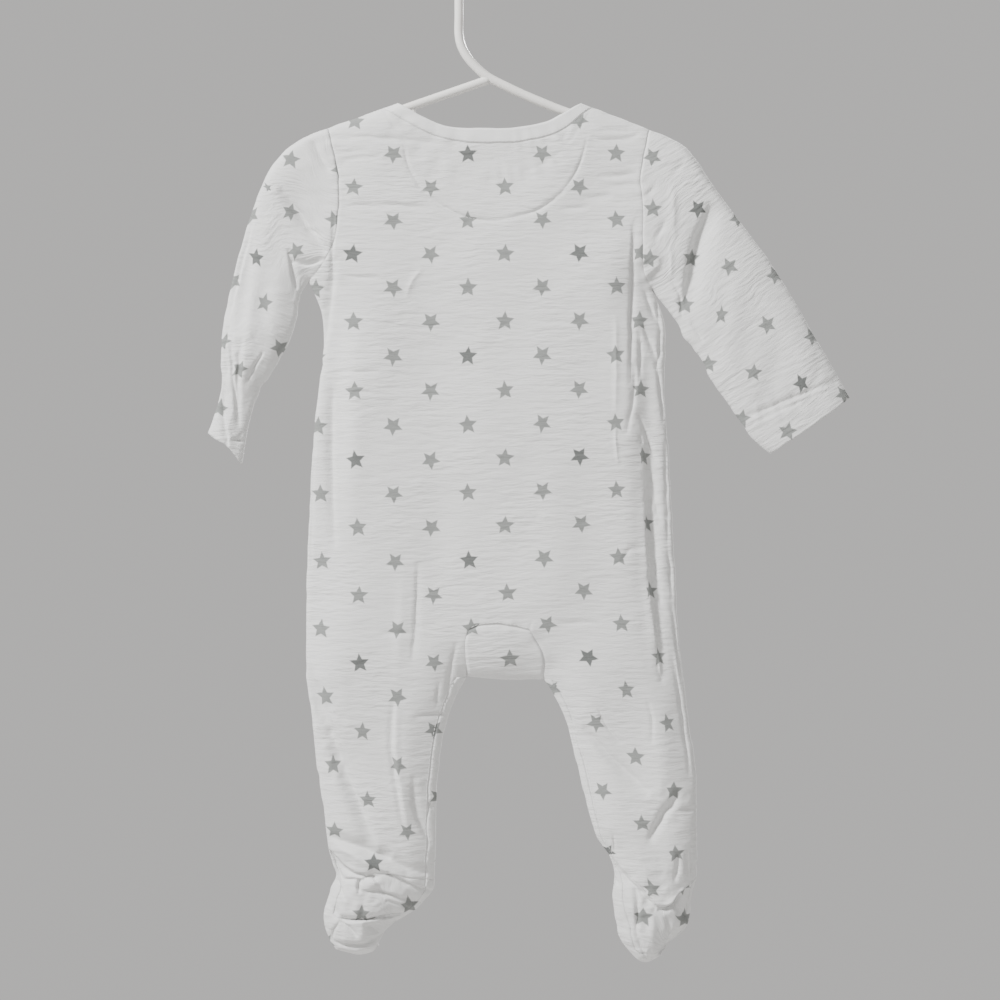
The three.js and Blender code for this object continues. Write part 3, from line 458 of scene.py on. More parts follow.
def cut_at(rows, row, names):
    """Two stretches of each named pair of columns, cut at one of the table's rows."""
    lines = [line_of(rows, f"{name}_x", f"{name}_z") for name in names]
    return [part for line in lines for part in (line[:row + 1], line[row:])]


def silhouette_lines():
    shoulder_left = line_of(SHOULDERS, "left_x", "left_z")
    shoulder_right = line_of(SHOULDERS, "right_x", "right_z")
    side_left, side_right = line_of(SIDES, "left_x", "left_z"), line_of(SIDES, "right_x", "right_z")
    outer_left = line_of(LEG_LEFT, "outer_x", "outer_z")
    outer_right = line_of(LEG_RIGHT, "outer_x", "outer_z")
    return [
        shoulder_left[:2], shoulder_left[1:], shoulder_right[:2], shoulder_right[1:],
        line_of(SLEEVE_LEFT, "top_x", "top_z"), line_of(SLEEVE_LEFT, "under_x", "under_z"),
        line_of(SLEEVE_RIGHT, "top_x", "top_z"), line_of(SLEEVE_RIGHT, "under_x", "under_z"),
        side_left, side_right,
        np.array([side_left[-1], outer_left[0]]), np.array([side_right[-1], outer_right[0]]),
        outer_left, outer_right,
        line_of(LEG_LEFT, "inner_x", "inner_z"), line_of(LEG_RIGHT, "inner_x", "inner_z"),
        line_of(CROTCH, "x", "z"), line_of(TOE_LEFT, "x", "z"), line_of(TOE_RIGHT, "x", "z"),
        *cut_at(FOOT_LEFT, SOLE_ROW_LEFT, ("outer", "inner")),
        *cut_at(FOOT_RIGHT, SOLE_ROW_RIGHT, ("outer", "inner")),
    ]


LINE_STEP = 0.5
RUN_BETWEEN_LINES = 1000.0


class Lines:
    """A set of smooth flat lines, and how far points lie from the nearest of them."""

    def __init__(self, lines):
        starts, ends, runs, samples = [], [], [], []
        for points in lines:
            line = walk(points, lambda length: np.linspace(0, length, math.ceil(length / LINE_STEP) + 1))
            run = run_of(line)
            first = len(starts)
            starts += line[:-1].tolist()
            ends += line[1:].tolist()
            runs += (run[:-1] + RUN_BETWEEN_LINES * len(samples)).tolist()
            samples += [(point, max(first, first + i - 1), min(first + i, first + len(line) - 2))
                        for i, point in enumerate(line)]
        self.start, self.step = np.array(starts), np.array(ends) - np.array(starts)
        self.run = np.array(runs)
        self.parts = np.array([(before, after) for _, before, after in samples])
        self.tree = KDTree(len(samples))
        for i, (point, _, _) in enumerate(samples):
            self.tree.insert((point[0], point[1], 0), i)
        self.tree.balance()

    def near(self, points):
        """Distance of each point from the lines, and a number that grows along them."""
        found = np.array([self.tree.find((x, z, 0))[1] for x, z in points.tolist()])
        distance, run = np.full(len(points), np.inf), np.zeros(len(points))
        for part in self.parts[found].T:
            step = self.step[part]
            offset = points - self.start[part]
            length = np.maximum(np.linalg.norm(step, axis=1), 1e-9)
            share = np.clip((offset * step).sum(1) / length ** 2, 0, 1)
            far = np.linalg.norm(offset - share[:, None] * step, axis=1)
            run = np.where(far < distance, self.run[part] + share * length, run)
            distance = np.minimum(far, distance)
        return distance, run


silhouette = Lines(silhouette_lines())


def smooth(start, end, value):
    """A soft step from 0 at the start to 1 at the end."""
    t = np.clip((value - start) / (end - start), 0, 1)
    return t * t * (3 - 2 * t)


def round_edge(distance, radius):
    inside = radius - np.clip(distance, 0, radius)
    return np.sqrt(radius ** 2 - inside ** 2)


def rise(distance, spread):
    part = np.clip(distance / spread, 0, 1)
    return part * (2 - part)


def standing_out(points, distance):
    """How far the cloth's outer face lies from the middle plane before its folds."""
    x, z = points.T
    half = np.interp(-z, -BODY_DEPTH["z"], BODY_DEPTH["half"])
    spread = np.interp(-z, -BODY_DEPTH["z"], BODY_DEPTH["spread"])
    sleeve = smooth(SLEEVE_FROM, SLEEVE_TO, np.abs(x)) * smooth(SLEEVE_LOWEST - 20, SLEEVE_LOWEST, z)
    half = half + (SLEEVE_HALF - half) * sleeve
    spread = spread + (SLEEVE_SPREAD - spread) * sleeve
    below = smooth(HANGER_FOLD_FROM, HANGER_FOLD_TO, z)
    radius = FOLD_RADIUS_AT_HANGER + (FOLD_RADIUS_BELOW - FOLD_RADIUS_AT_HANGER) * below
    return round_edge(distance, radius + WALL) + (half - radius) * rise(distance - WALL, spread)


# Creases, each drawn through three points. Side -1 is the back layer and 1 the front. A
# positive depth stands out. It falls away over one width to the left of its way down and
# over the other to its right, so that unequal widths make a lip or a pleat.
CREASES = table("side x1 z1 x2 z2 x3 z3 depth left right", [
    (-1, 110, -235, 111, -350, 112, -470, -2.6, 7, 7),
    (-1, 96, -250, 98, -345, 99, -440, 1.0, 9, 9),
    (-1, -106, -230, -108, -330, -110, -430, -2.4, 9, 9),
    (-1, -92, -240, -94, -320, -96, -400, 1.2, 9, 9),
    (-1, -40, -360, -37, -408, -34, -455, -1.2, 14, 14),
    (-1, 45, -330, 49, -390, 52, -450, 1.0, 14, 14),
    (-1, -122, -500, -99, -556, -74, -616, -1.8, 10, 10),
    (-1, -60, -500, -59, -555, -58, -610, 1.8, 9, 9),
    (-1, 72, -512, 93, -550, 113, -590, -1.4, 9, 9),
    (-1, 132, -572, 120, -598, 110, -620, -1.4, 9, 9),
    (-1, 118, -505, 120, -552, 122, -600, 1.5, 9, 9),
    (-1, 150, -165, 144, -210, 138, -255, -1.8, 9, 9),
    (-1, 175, -205, 170, -248, 166, -290, 1.5, 9, 9),
    (-1, 205, -250, 198, -284, 190, -318, -1.2, 8, 8),
    (-1, -138, -145, -129, -175, -120, -205, -1.6, 9, 9),
    (-1, -168, -210, -170, -255, -172, -300, 1.6, 7, 7),
    (-1, -152, -200, -156, -241, -160, -282, -1.4, 7, 7),
    (1, -60, -190, -66, -305, -72, -420, -2.0, 14, 14),
    (1, 66, -200, 72, -315, 78, -430, -2.0, 14, 14),
    (1, -98, -240, -101, -340, -104, -440, 1.6, 9, 9),
    (1, 100, -245, 102, -348, 104, -450, 1.6, 9, 9),
    (1, -76, -505, -79, -560, -82, -615, -2.0, 10, 10),
    (1, 96, -505, 106, -562, 116, -620, -2.0, 10, 10),
    (1, 160, -175, 160, -222, 160, -270, -1.8, 9, 9),
    (1, 190, -225, 187, -268, 184, -310, 1.4, 8, 8),
    (1, -145, -150, -138, -188, -132, -225, -1.6, 9, 9),
    (1, -166, -215, -167, -260, -168, -305, 1.4, 7, 7),
    # Across the shoulders and under the neckband
    (-1, -112.7, -120.4, -74.2, -121.1, -23.8, -125.6, -1.1, 1, 2.2),
    (-1, -105.7, -131.9, -93.1, -130.5, -81.9, -129.8, -0.9, 1, 1.6),
    (-1, -102.9, -136.5, -88.9, -134.4, -74.2, -135.1, -1.1, 1, 1.8),
    (-1, -104.3, -169.4, -72.8, -168, -38.5, -170.1, -1.0, 1, 2),
    (-1, 70.7, -121.5, 89.6, -122.1, 105.7, -118.6, -1.3, 1, 2),
    (-1, 77.7, -115.1, 90.3, -116.5, 102.9, -115.1, -0.9, 1, 1.5),
    (-1, 75.6, -147.3, 90.3, -147.3, 104.3, -145.6, -1.1, 1, 1.8),
    (-1, 77.7, -154, 90.3, -154, 102.9, -152.9, -0.9, 1, 1.6),
    (-1, 63.7, -163.1, 76.3, -162, 87.5, -160.6, -0.9, 1, 1.6),
    (-1, 49.7, -170.4, 60.2, -170.1, 70.7, -170.1, -0.9, 1, 1.6),
    # On the middle of the back
    (-1, -46.2, -212.4, -53.9, -222.2, -57.4, -232.7, 0.9, 1.3, 1.3),
    (-1, -101.5, -218, -88.9, -218.7, -75.6, -219.1, -0.7, 0.9, 1.3),
    (-1, -102.9, -283.8, -88.9, -284.5, -75.6, -283.8, -0.7, 0.9, 1.3),
    (-1, -49.4, -415.4, -50.4, -446.9, -53.6, -486.8, -1.5, 2.6, 1),
    (-1, -76.3, -465.1, -63.7, -466.5, -52.5, -464.4, -0.8, 0.9, 1.4),
    (-1, 46.9, -458.5, 62.3, -458.1, 78.4, -458.1, -0.9, 0.9, 1.6),
    (-1, -21.7, -471.4, -25.2, -484, -29.4, -513.4, -1.3, 1, 1.5),
    # Down the right side
    (-1, 100.1, -180.9, 98.7, -233.4, 97.6, -296.4, -2.5, 2.6, 0.8),
    (-1, 104.3, -253, 105.7, -269.8, 105.6, -290.1, -1.7, 0.8, 1.6),
    (-1, 102.1, -276.8, 100.8, -302, 95.9, -328.6, -1.7, 0.8, 2),
    (-1, 87.8, -243.9, 88.5, -268.4, 87.8, -313.9, 0.9, 1.5, 1.5),
    (-1, 87.8, -320.2, 88.2, -334.9, 89.9, -349.6, 0.9, 0.9, 0.9),
    (-1, 103.6, -313.2, 109.2, -327.9, 117.2, -350.3, -1.7, 1.2, 0.9),
    (-1, 104.3, -327.9, 105.7, -331.4, 107.1, -335.6, -1.1, 0.9, 0.9),
    (-1, 107.8, -331.4, 109.9, -415.4, 119, -499.4, 1.9, 0.8, 4),
    (-1, 109.8, -331.4, 111.9, -415.4, 121.1, -499.4, -3.0, 5, 0.7),
    (-1, 112.4, -354.5, 116.9, -375.5, 119.7, -393, -1.5, 1, 1.5),
    (-1, 116.2, -397.9, 117.9, -436.4, 123.9, -457.4, -1.3, 1, 1.5),
    (-1, 92.4, -415.4, 98.7, -407.7, 109.2, -407, -0.9, 1.5, 1.5),
    (-1, 122.8, -331.4, 123.9, -373.4, 124.9, -408.4, -1.7, 0.8, 1),
    (-1, 124.9, -407, 127.4, -429.4, 127.4, -443.4, -1.7, 0.8, 1),
    (-1, 127.4, -442, 130.2, -467.9, 135.8, -506.4, -1.7, 0.8, 1),
    (-1, 127.4, -474.9, 134.4, -521.9, 140, -566, -1.7, 0.8, 1.2),
    (-1, 116.6, -471.4, 117.6, -491, 121.8, -502.2, -1.3, 1, 1.5),
    (-1, 110.3, -512.8, 113.4, -525.4, 113.4, -544.2, -0.9, 1, 1.5),
    # Gathered below the right armpit
    (-1, 108.5, -227.8, 113.2, -240.4, 119.7, -253.7, -2.3, 0.9, 1.5),
    (-1, 117.2, -230.6, 117.9, -243.9, 119.7, -255.1, -1.9, 0.8, 1),
    (-1, 119.6, -253.7, 118.7, -266.3, 117.6, -281, -2.3, 0.9, 1.2),
    (-1, 106.8, -251.6, 113.2, -266.3, 117.9, -281, -1.9, 1, 1.4),
    (-1, 117.6, -279.6, 119.7, -296.4, 122.1, -320.2, -2.5, 1, 1.2),
    (-1, 108.1, -196.3, 114.1, -202.6, 119.7, -208.2, 1.5, 3, 1.2),
    (-1, 119.7, -208.6, 113.4, -213.8, 108.1, -219.4, 1.7, 1.2, 3),
    # Down the left side
    (-1, -106.1, -204, -109.6, -233.4, -114.1, -268.4, -2.8, 0.8, 4),
    (-1, -108.5, -292.9, -108.9, -345.4, -106.8, -408.4, -2.5, 1.2, 3.5),
    (-1, -121.8, -324.4, -123.2, -373.4, -124.6, -429.4, -1.1, 0.8, 0.8),
    (-1, -118.7, -240.4, -115.5, -240.1, -112.7, -239.7, -1.1, 0.8, 0.8),
    (-1, -115.5, -244.6, -115.2, -253, -114.8, -262.8, -1.1, 0.7, 0.7),
    # On the left sleeve
    (-1, -122.9, -122.1, -117.2, -133.3, -109.9, -143.8, -2.3, 1, 3),
    (-1, -145.6, -156.4, -128.8, -176.7, -111.7, -201.2, -4.2, 1.2, 5),
    (-1, -127.4, -183.7, -121.1, -185.8, -114.1, -190, -1.1, 1, 2),
    (-1, -140, -198.4, -136.9, -215.2, -134.4, -226.4, -2.5, 2.5, 1),
    (-1, -138.6, -206.8, -126, -209.6, -112.7, -205.1, -2.7, 3, 0.9),
    (-1, -120, -223.6, -116.2, -226.4, -111.3, -229.2, -1.1, 1, 1),
    (-1, -107.1, -173.2, -108.5, -191.4, -109.2, -225, -1.3, 0.9, 0.9),
    (-1, -163.1, -172.5, -174.3, -215.9, -181.7, -248.8, -1.7, 0.8, 2.5),
    (-1, -182, -250.9, -183.4, -268.4, -182, -287.3, -1.5, 0.8, 2),
    (-1, -164.5, -185.8, -170.8, -233.4, -173.6, -281, -2.4, 4.5, 5),
    (-1, -172.2, -261.4, -175, -292.9, -175, -323, -2.7, 2, 2),
    (-1, -179.2, -262.8, -178.5, -284.5, -175.7, -311.8, -1.7, 1, 1.5),
    (-1, -157.5, -269.8, -163.8, -282.4, -168.7, -292.2, -1.5, 1, 1),
    (-1, -184.1, -291.5, -184.1, -313.9, -181.7, -337, -3.0, 0.9, 3),
    (-1, -153.3, -201.9, -151.9, -233.4, -158.9, -264.9, 1.6, 10, 9),
    # On the right sleeve
    (-1, 123.9, -179.2, 119.7, -186.5, 114.8, -192.8, -1.5, 1.2, 2),
    (-1, 116.9, -155, 112.7, -158.5, 109.7, -161.3, -1.1, 1, 1.5),
    (-1, 136.8, -137.5, 131.6, -143.1, 126.7, -148, -0.9, 1, 1.5),
    (-1, 128.8, -155, 128.8, -172.5, 128.8, -190.7, 1.1, 2, 4),
    (-1, 126.7, -199.1, 127, -209.6, 127.4, -219.4, 0.9, 1.5, 1.5),
    (-1, 156.1, -166.9, 142.8, -198.4, 136.5, -239, -4.9, 8, 2.6),
    (-1, 124.6, -217.3, 132.3, -229.2, 135.1, -246, -1.3, 1.2, 1.2),
    (-1, 232.4, -272.6, 228.2, -288, 218.4, -298.5, -0.5, 3, 3),
    (-1, 140.7, -248.8, 144.9, -255.8, 149.1, -262.8, -1.3, 1, 1),
    # On the left leg
    (-1, -125.3, -491, -104.3, -548.5, -79.1, -612.9, -4.9, 2.4, 6),
    (-1, -66.5, -513.4, -67.2, -549.9, -59.5, -600.2, -1.9, 1, 1.8),
    (-1, -64.1, -513.4, -64.4, -549.9, -56.7, -600.2, 1.3, 2.5, 1),
    (-1, -51.8, -523.6, -40.6, -522.9, -29.4, -523.2, -1.1, 0.9, 1.3),
    (-1, -35, -498, -35.7, -507.8, -36.1, -517.6, -0.9, 0.9, 0.9),
    (-1, -52.9, -563.9, -51.1, -590.5, -39.9, -615.6, -1.9, 3, 1.6),
    (-1, -42.7, -583.5, -40.6, -587, -37.8, -591.1, -1.5, 0.8, 1.2),
    (-1, -112, -608, -88.9, -615.6, -67.9, -623.4, -4.6, 5, 1.8),
    (-1, -77.7, -618.5, -56.7, -630.4, -38.5, -635.2, -3.0, 4.5, 1.8),
    (-1, -108.5, -614.2, -88.9, -622.6, -60.9, -638, 2.5, 1.6, 3.5),
    (-1, -59.5, -415.4, -61.6, -457.4, -63.7, -506.4, 0.8, 5, 3),
    # On the right leg
    (-1, 65.8, -530.9, 86.1, -553.4, 112, -577.1, -3.4, 2.5, 3.5),
    (-1, 75.4, -516.9, 83.3, -533, 93.1, -542.9, -0.9, 1, 1),
    (-1, 133, -576.5, 121.8, -590.5, 111.3, -610.8, -3.8, 3, 2.2),
    (-1, 128.1, -589.8, 135.8, -588.4, 144.2, -589, -1.5, 1, 2),
    (-1, 131.6, -619.1, 130.9, -629, 128.8, -640.1, -1.9, 1.5, 1.5),
    (-1, 137.9, -617.8, 137.9, -626.9, 138.6, -637.4, -1.5, 1.2, 1.2),
    (-1, 141.4, -617.8, 141.4, -626.9, 141.4, -637.4, -1.5, 1, 1),
    (-1, 86.5, -605.9, 87.1, -611.5, 87.5, -618.5, -1.1, 0.8, 0.8),
    (-1, 56.3, -523.9, 60.9, -544.2, 67.9, -556.9, -1.1, 0.8, 0.8),
    # Round the left foot
    (-1, -110.6, -619.1, -97.3, -631.8, -75.6, -634.9, -3.1, 0.8, 3),
    (-1, -79.1, -629, -60.2, -638.8, -38.5, -647.9, -3.1, 1, 2.5),
    (-1, -112, -616.4, -106.4, -628.2, -102.2, -638, -2.4, 0.8, 1),
    (-1, -111.3, -619.1, -107.1, -636.6, -99.4, -652.8, -2.2, 0.8, 1),
    (-1, -102.2, -638, -95.2, -637.4, -89.6, -639.5, -2.0, 0.9, 1.2),
    (-1, -90, -637.4, -91, -642.2, -89.6, -647.1, -3.7, 1.2, 1.2),
    (-1, -86.1, -642.2, -80.5, -638.8, -74.9, -643, 2.0, 3, 3),
    (-1, -88.9, -639.5, -82.6, -634.2, -74.2, -642.2, -2.0, 0.9, 0.9),
    (-1, -88.9, -645, -71.4, -647.1, -48.3, -656.2, -3.1, 1, 2.2),
    (-1, -72.1, -652.8, -62.3, -654.9, -52.5, -661.9, -1.7, 1, 1.6),
    (-1, -110.6, -658.4, -97.3, -666, -60.9, -663.2, -3.4, 2.5, 0.9),
    (-1, -104.3, -666, -97.3, -671.6, -91.7, -678, -2.2, 1, 1),
    (-1, -104.3, -667.5, -108.5, -674.5, -110.6, -682.9, -2.0, 0.9, 0.9),
    (-1, -84.7, -671, -78.4, -675.1, -75.6, -681.5, -1.7, 0.9, 1.2),
    (-1, -109.9, -682.9, -90.3, -684.2, -74.9, -678, -3.4, 1, 2.5),
    (-1, -105.7, -688.5, -92.4, -689.1, -79.8, -685, 1.5, 2.5, 2.5),
    # Round the right foot
    (-1, 85.4, -623.4, 101.5, -642.6, 116.9, -658.4, -3.1, 0.8, 3),
    (-1, 116.9, -659, 125.3, -657.6, 134.4, -648.5, -2.7, 1, 2),
    (-1, 112.7, -651.4, 122.5, -655.5, 136.5, -645, 2.0, 1.4, 1),
    (-1, 133.7, -647.1, 139.3, -643, 145.6, -638.8, 1.7, 1.2, 1),
    (-1, 86.8, -637.4, 88.9, -640.1, 91.7, -643, -3.1, 0.9, 0.9),
    (-1, 101.5, -644.4, 104.6, -661.1, 102.9, -679.4, -2.7, 1, 2),
    (-1, 102.9, -676.5, 106.4, -685.6, 111.3, -696.1, -2.5, 1, 1.5),
    (-1, 114.1, -695.5, 125.3, -687, 141.4, -671, -3.1, 2.5, 0.9),
    (-1, 128.1, -656.2, 134.4, -661.9, 141.4, -670.2, -2.7, 1, 1.5),
    (-1, 112.7, -689.1, 116.9, -693.4, 121.8, -696.1, 1.4, 2, 2),
    (-1, 111.3, -657, 114.1, -667.5, 112.7, -681.5, 1.5, 3, 3),
    (-1, 123.2, -664, 126, -671, 123.9, -681.5, -2.0, 1.2, 2),
    # Along the facing inside the neck
    (-1, -59.5, -124.2, -54.6, -143.8, -42, -163.4, -0.9, 0.9, 1.2),
    (-1, -44.1, -161.3, -15.4, -176.7, 11.9, -178.5, -1.5, 0.9, 1.4),
    (-1, 7.7, -178.8, 32.9, -172.2, 52.5, -158.5, -1.4, 1.2, 0.9),
    (-1, 49.7, -161.3, 62.3, -142.4, 67.9, -123.5, -0.9, 1, 0.9),
    # Above the hems of the sleeves
    (-1, 177.1, -316.7, 214.2, -301.3, 244.3, -289.4, -1.5, 1.6, 0.8),
    (-1, 181.3, -320.9, 215.6, -305.5, 245.7, -294.3, -0.7, 0.8, 0.8),
    (-1, -180.6, -331.4, -175, -332.5, -168.7, -332.8, -1.5, 1.2, 0.8),
    (-1, -192.5, -309.7, -188.3, -311.8, -184.1, -314.6, -1.2, 1.2, 0.8),
])
CREASE_REACH = 2.6
CREASE_PARTS = 6
FINE_WIDTH = 2.7
GATHER = {"reach": 4.0, "share": 0.78, "held": 6.0}


def crease_rows():
    """Each crease's side, smooth line, depth and two widths."""
    rows = []
    for side, *ends, depth, left, right in zip(*CREASES.values()):
        line = smooth_line(np.array(ends).reshape(3, 2), CREASE_PARTS)
        rows.append((side, line, depth, left, right))
    return rows


def from_crease(points, line):
    """Way of points from a crease, its length, positive on the crease's left, the points' share
    of the crease's run, and how far they lie past its ends."""
    step = np.diff(line, axis=0)
    length = np.linalg.norm(step, axis=1)
    run = run_of(line)
    offset = points[:, None] - line[None, :-1]
    along = (offset * step).sum(2) / length ** 2
    share = np.clip(along, 0, 1)
    away = offset - share[:, :, None] * step
    part = np.linalg.norm(away, axis=2).argmin(1)
    pick = np.arange(len(points)), part
    cross = step[part, 0] * offset[pick][:, 1] - step[part, 1] * offset[pick][:, 0]
    share_of_all = (run[part] + share[pick] * length[part]) / run[-1]
    beyond = np.maximum(along[:, -1] - 1, 0) * length[-1] * (part == len(length) - 1)
    before = np.maximum(-along[:, 0], 0) * length[0] * (part == 0)
    distance = np.linalg.norm(away[pick], axis=1)
    return away[pick], np.where(cross > 0, distance, -distance), share_of_all, beyond + before


def near_crease(points, line, reach):
    """The points within reach of a crease's box."""
    low, high = line.min(0) - reach, line.max(0) + reach
    return np.flatnonzero(((points > low) & (points < high)).all(1))


def gathered(points, side):
    """Flat points drawn towards the fine creases, so that the grid can show them."""
    held = smooth(0, GATHER["held"], silhouette.near(points)[0])
    held = held * smooth(0, GATHER["held"], seams.near(points)[0])
    move, weight = np.zeros(points.shape), np.zeros(len(points))
    for crease_side, line, _, left, right in crease_rows():
        if crease_side != side or min(left, right) > FINE_WIDTH:
            continue
        close = near_crease(points, line, 3 * GATHER["reach"])
        if not len(close):
            continue
        way, distance, share, beyond = from_crease(points[close], line)
        pull = GATHER["share"] * np.exp(-(distance / GATHER["reach"]) ** 2) * np.sqrt(np.sin(np.pi * share))
        pull = np.where(beyond > 0, 0, pull)
        move[close] -= way * pull[:, None]
        weight[close] += pull
    share = held / np.maximum(1, weight / GATHER["share"])
    return points + move * share[:, None]


def crease_height(points, side, from_edge):
    """Height of all the creases of one side. A fine crease comes nearer to the outline."""
    height = np.zeros(len(points))
    for crease_side, line, depth, left, right in crease_rows():
        close = near_crease(points, line, CREASE_REACH * max(left, right)) if crease_side == side else []
        if not len(close):
            continue
        _, distance, share, beyond = from_crease(points[close], line)
        width = np.where(distance > 0, left, right)
        fade = np.sin(np.pi * share) if min(left, right) > FINE_WIDTH else np.sqrt(np.sin(np.pi * share))
        fade *= rise(from_edge[close], np.clip(2 * min(left, right), 3, FOLD_FADE))
        height[close] += np.where(beyond > 0, 0, depth * fade * np.exp(-(distance / width) ** 2))
    return height


def soft_noise(u, v, seed):
    """Smooth random heights from -1 to 1 over unit cells."""
    grid = np.random.default_rng(seed).uniform(-1, 1, (128, 128))
    i, j = np.floor(u).astype(int), np.floor(v).astype(int)
    fu, fv = u - i, v - j
    fu, fv = fu * fu * (3 - 2 * fu), fv * fv * (3 - 2 * fv)
    i, j = i % 128, j % 128
    upper = grid[i, j] * (1 - fu) + grid[(i + 1) % 128, j] * fu
    lower = grid[i, (j + 1) % 128] * (1 - fu) + grid[(i + 1) % 128, (j + 1) % 128] * fu
    return upper * (1 - fv) + lower * fv


# Muslin never lies flat: it billows softly and is full of short crinkles across the cloth.
BILLOW = {"across": 40.0, "down": 54.0, "height": 1.5}
CRINKLE = {"across": 17.0, "down": 4.6, "height": 0.2}
SEAM_PUCKER = {"pitch": 4.0, "across": 14.0, "reach": 8.0, "height": 0.6}
SEAM_DIP = {"width": 1.0, "depth": 0.35}
FINE_FADE, DIP_FADE = 4.0, 3.0

# Each kind of unevenness has its own seed, and those of cloth get the layer's side added.
SEEDS = {"billow": 5, "crinkle": 15, "pucker": 11, "crumple": 31, "wobble_x": 21, "wobble_z": 22}

# Where the cloth is crumpled most: at the feet, the left sleeve and the folds of the right side
CRUMPLED = table("side x z reach height", [
    (-1, -115, -533, 16, 0.9),
    (-1, -110, -560, 12, 0.7),
    (-1, -174, -270, 16, 0.9),
    (-1, -158, -290, 12, 0.9),
    (-1, 128, -585, 16, 0.7),
    (-1, 137, -262, 10, 0.7),
    (-1, 118, -270, 10, 0.7),
    (-1, 118, -380, 12, 0.8),
    (-1, 120, -430, 12, 0.6),
    (-1, -80, -655, 26, 1.1),
    (-1, 115, -655, 26, 0.9),
    (1, -174, -270, 20, 0.9),
    (1, -80, -650, 30, 1.1),
    (1, 115, -650, 30, 0.9),
    (1, 0, -420, 40, 0.4),
])
CRUMPLE = {"across": 4.4, "down": 5.2}
WOBBLE = {"cell": 7.0, "size": 0.35, "more": 0.8}


def crumpled(points, side):
    """How much more crumpled the cloth is than elsewhere, in millimetres."""
    amount = np.zeros(len(points))
    for crumple_side, x, z, reach, height in zip(*CRUMPLED.values()):
        if crumple_side == side:
            amount = np.maximum(amount, height * np.exp(-((points - (x, z)) ** 2).sum(1) / reach ** 2))
    return amount


def wobbled(points):
    """Flat points moved a little, the same way in all the pieces, so that no edge is even."""
    x, z = (points / WOBBLE["cell"]).T
    size = (WOBBLE["size"] + WOBBLE["more"] * crumpled(points, -1))[:, None]
    moves = [soft_noise(x, z, SEEDS["wobble_x"]), soft_noise(x, z, SEEDS["wobble_z"])]
    return points + size * np.column_stack(moves)


def seam_lines():
    rows = [
        ARMHOLE_LEFT, ARMHOLE_RIGHT, BACK_NECK_SEAM, FRONT_NECK_SEAM, GUSSET_LEFT, GUSSET_RIGHT, GUSSET_TOP,
        ANKLE_LEFT, ANKLE_RIGHT, SOLE_END_LEFT, SOLE_END_RIGHT, HEM_LEFT, HEM_RIGHT,
    ]
    return [line_of(seam, "x", "z") for seam in rows]


seams = Lines(seam_lines())


def relief(points, side, distance):
    """Height of all the folds, crinkles and puckers at flat points."""
    x, z = points.T
    layer_seed = int(side)
    main = crease_height(points, side, distance)
    billow = soft_noise(x / BILLOW["across"], z / BILLOW["down"], SEEDS["billow"] + layer_seed)
    fine = soft_noise(x / CRINKLE["across"], z / CRINKLE["down"], SEEDS["crinkle"] + layer_seed)
    seam_distance, run = seams.near(points)
    pucker = soft_noise(run / SEAM_PUCKER["pitch"], seam_distance / SEAM_PUCKER["across"], SEEDS["pucker"])
    pucker *= SEAM_PUCKER["height"] * np.exp(-(seam_distance / SEAM_PUCKER["reach"]) ** 2)
    crumple = soft_noise(x / CRUMPLE["across"], z / CRUMPLE["down"], SEEDS["crumple"] + layer_seed)
    crumple *= crumpled(points, side)
    dip = SEAM_DIP["depth"] * np.exp(-(seam_distance / SEAM_DIP["width"]) ** 2)
    broad = main + BILLOW["height"] * billow * rise(distance, FOLD_FADE)
    small = (CRINKLE["height"] * fine + pucker + crumple) * rise(distance, FINE_FADE)
    return broad + small - dip * rise(distance, DIP_FADE)


ON_EDGE = 0.05


def on_cloth(points, side, wraps=False, lift=0.0):
    """Places on the cloth's outer face, for flat points on one side of the garment. Cloth that
    wraps round the outline meets itself there, and other cloth stops half a seam's gap short."""
    distance, _ = silhouette.near(points)
    distance = np.where(distance < ON_EDGE, 0, distance)
    short = np.where(wraps & (distance == 0), 0, SEAM_GAP / 2)
    depth = standing_out(points, distance) + relief(points, side, distance)
    forward = FEET_SHIFT * smooth(FEET_FROM, FEET_TO, points[:, 1])
    y = side * (np.maximum(short, depth) + lift) + forward
    across, up = wobbled(points).T
    return np.column_stack([across, y, up])


def between(top, bottom, left, right, grip=1, fade=1):
    """Rows of flat points between four lines that meet at their ends. The side lines' bends
    reach less far inwards with more grip, and those of the top and bottom with more fade."""
    def share(line):
        reach = np.linalg.norm(line - line[0], axis=1)
        return (reach / reach[-1] if reach[-1] > 0 else np.linspace(0, 1, len(line)))[:, None]

    def bend(line):
        return line - line[0] - (line[-1] - line[0]) * share(line)
    u = ((share(top) + share(bottom)) / 2)[None]
    v = ((share(left) + share(right)) / 2)[:, None]
    top_chord, bottom_chord = (line[0] + (line[-1] - line[0]) * share(line) for line in (top, bottom))
    rows = top_chord * (1 - v) + bottom_chord * v + bend(top) * (1 - v) ** fade + bend(bottom) * v ** fade
    left_bend = left[:, None] - (top[0] * (1 - v) + bottom[0] * v)
    right_bend = right[:, None] - (top[-1] * (1 - v) + bottom[-1] * v)
    rows = rows + left_bend * (1 - u) ** grip + right_bend * u ** grip
    rows[0], rows[-1], rows[:, 0], rows[:, -1] = top, bottom, left, right
    return rows


# The star print repeats over 51.7 mm across and 47.2 mm down, and is laid out from one dark
# star on the back. A place on the print is in millimetres across and down the cloth.
PRINT_START = np.array([-14.7, -131.2])
FRONT_PRINT_SHIFT = np.array([11.0, 17.0])

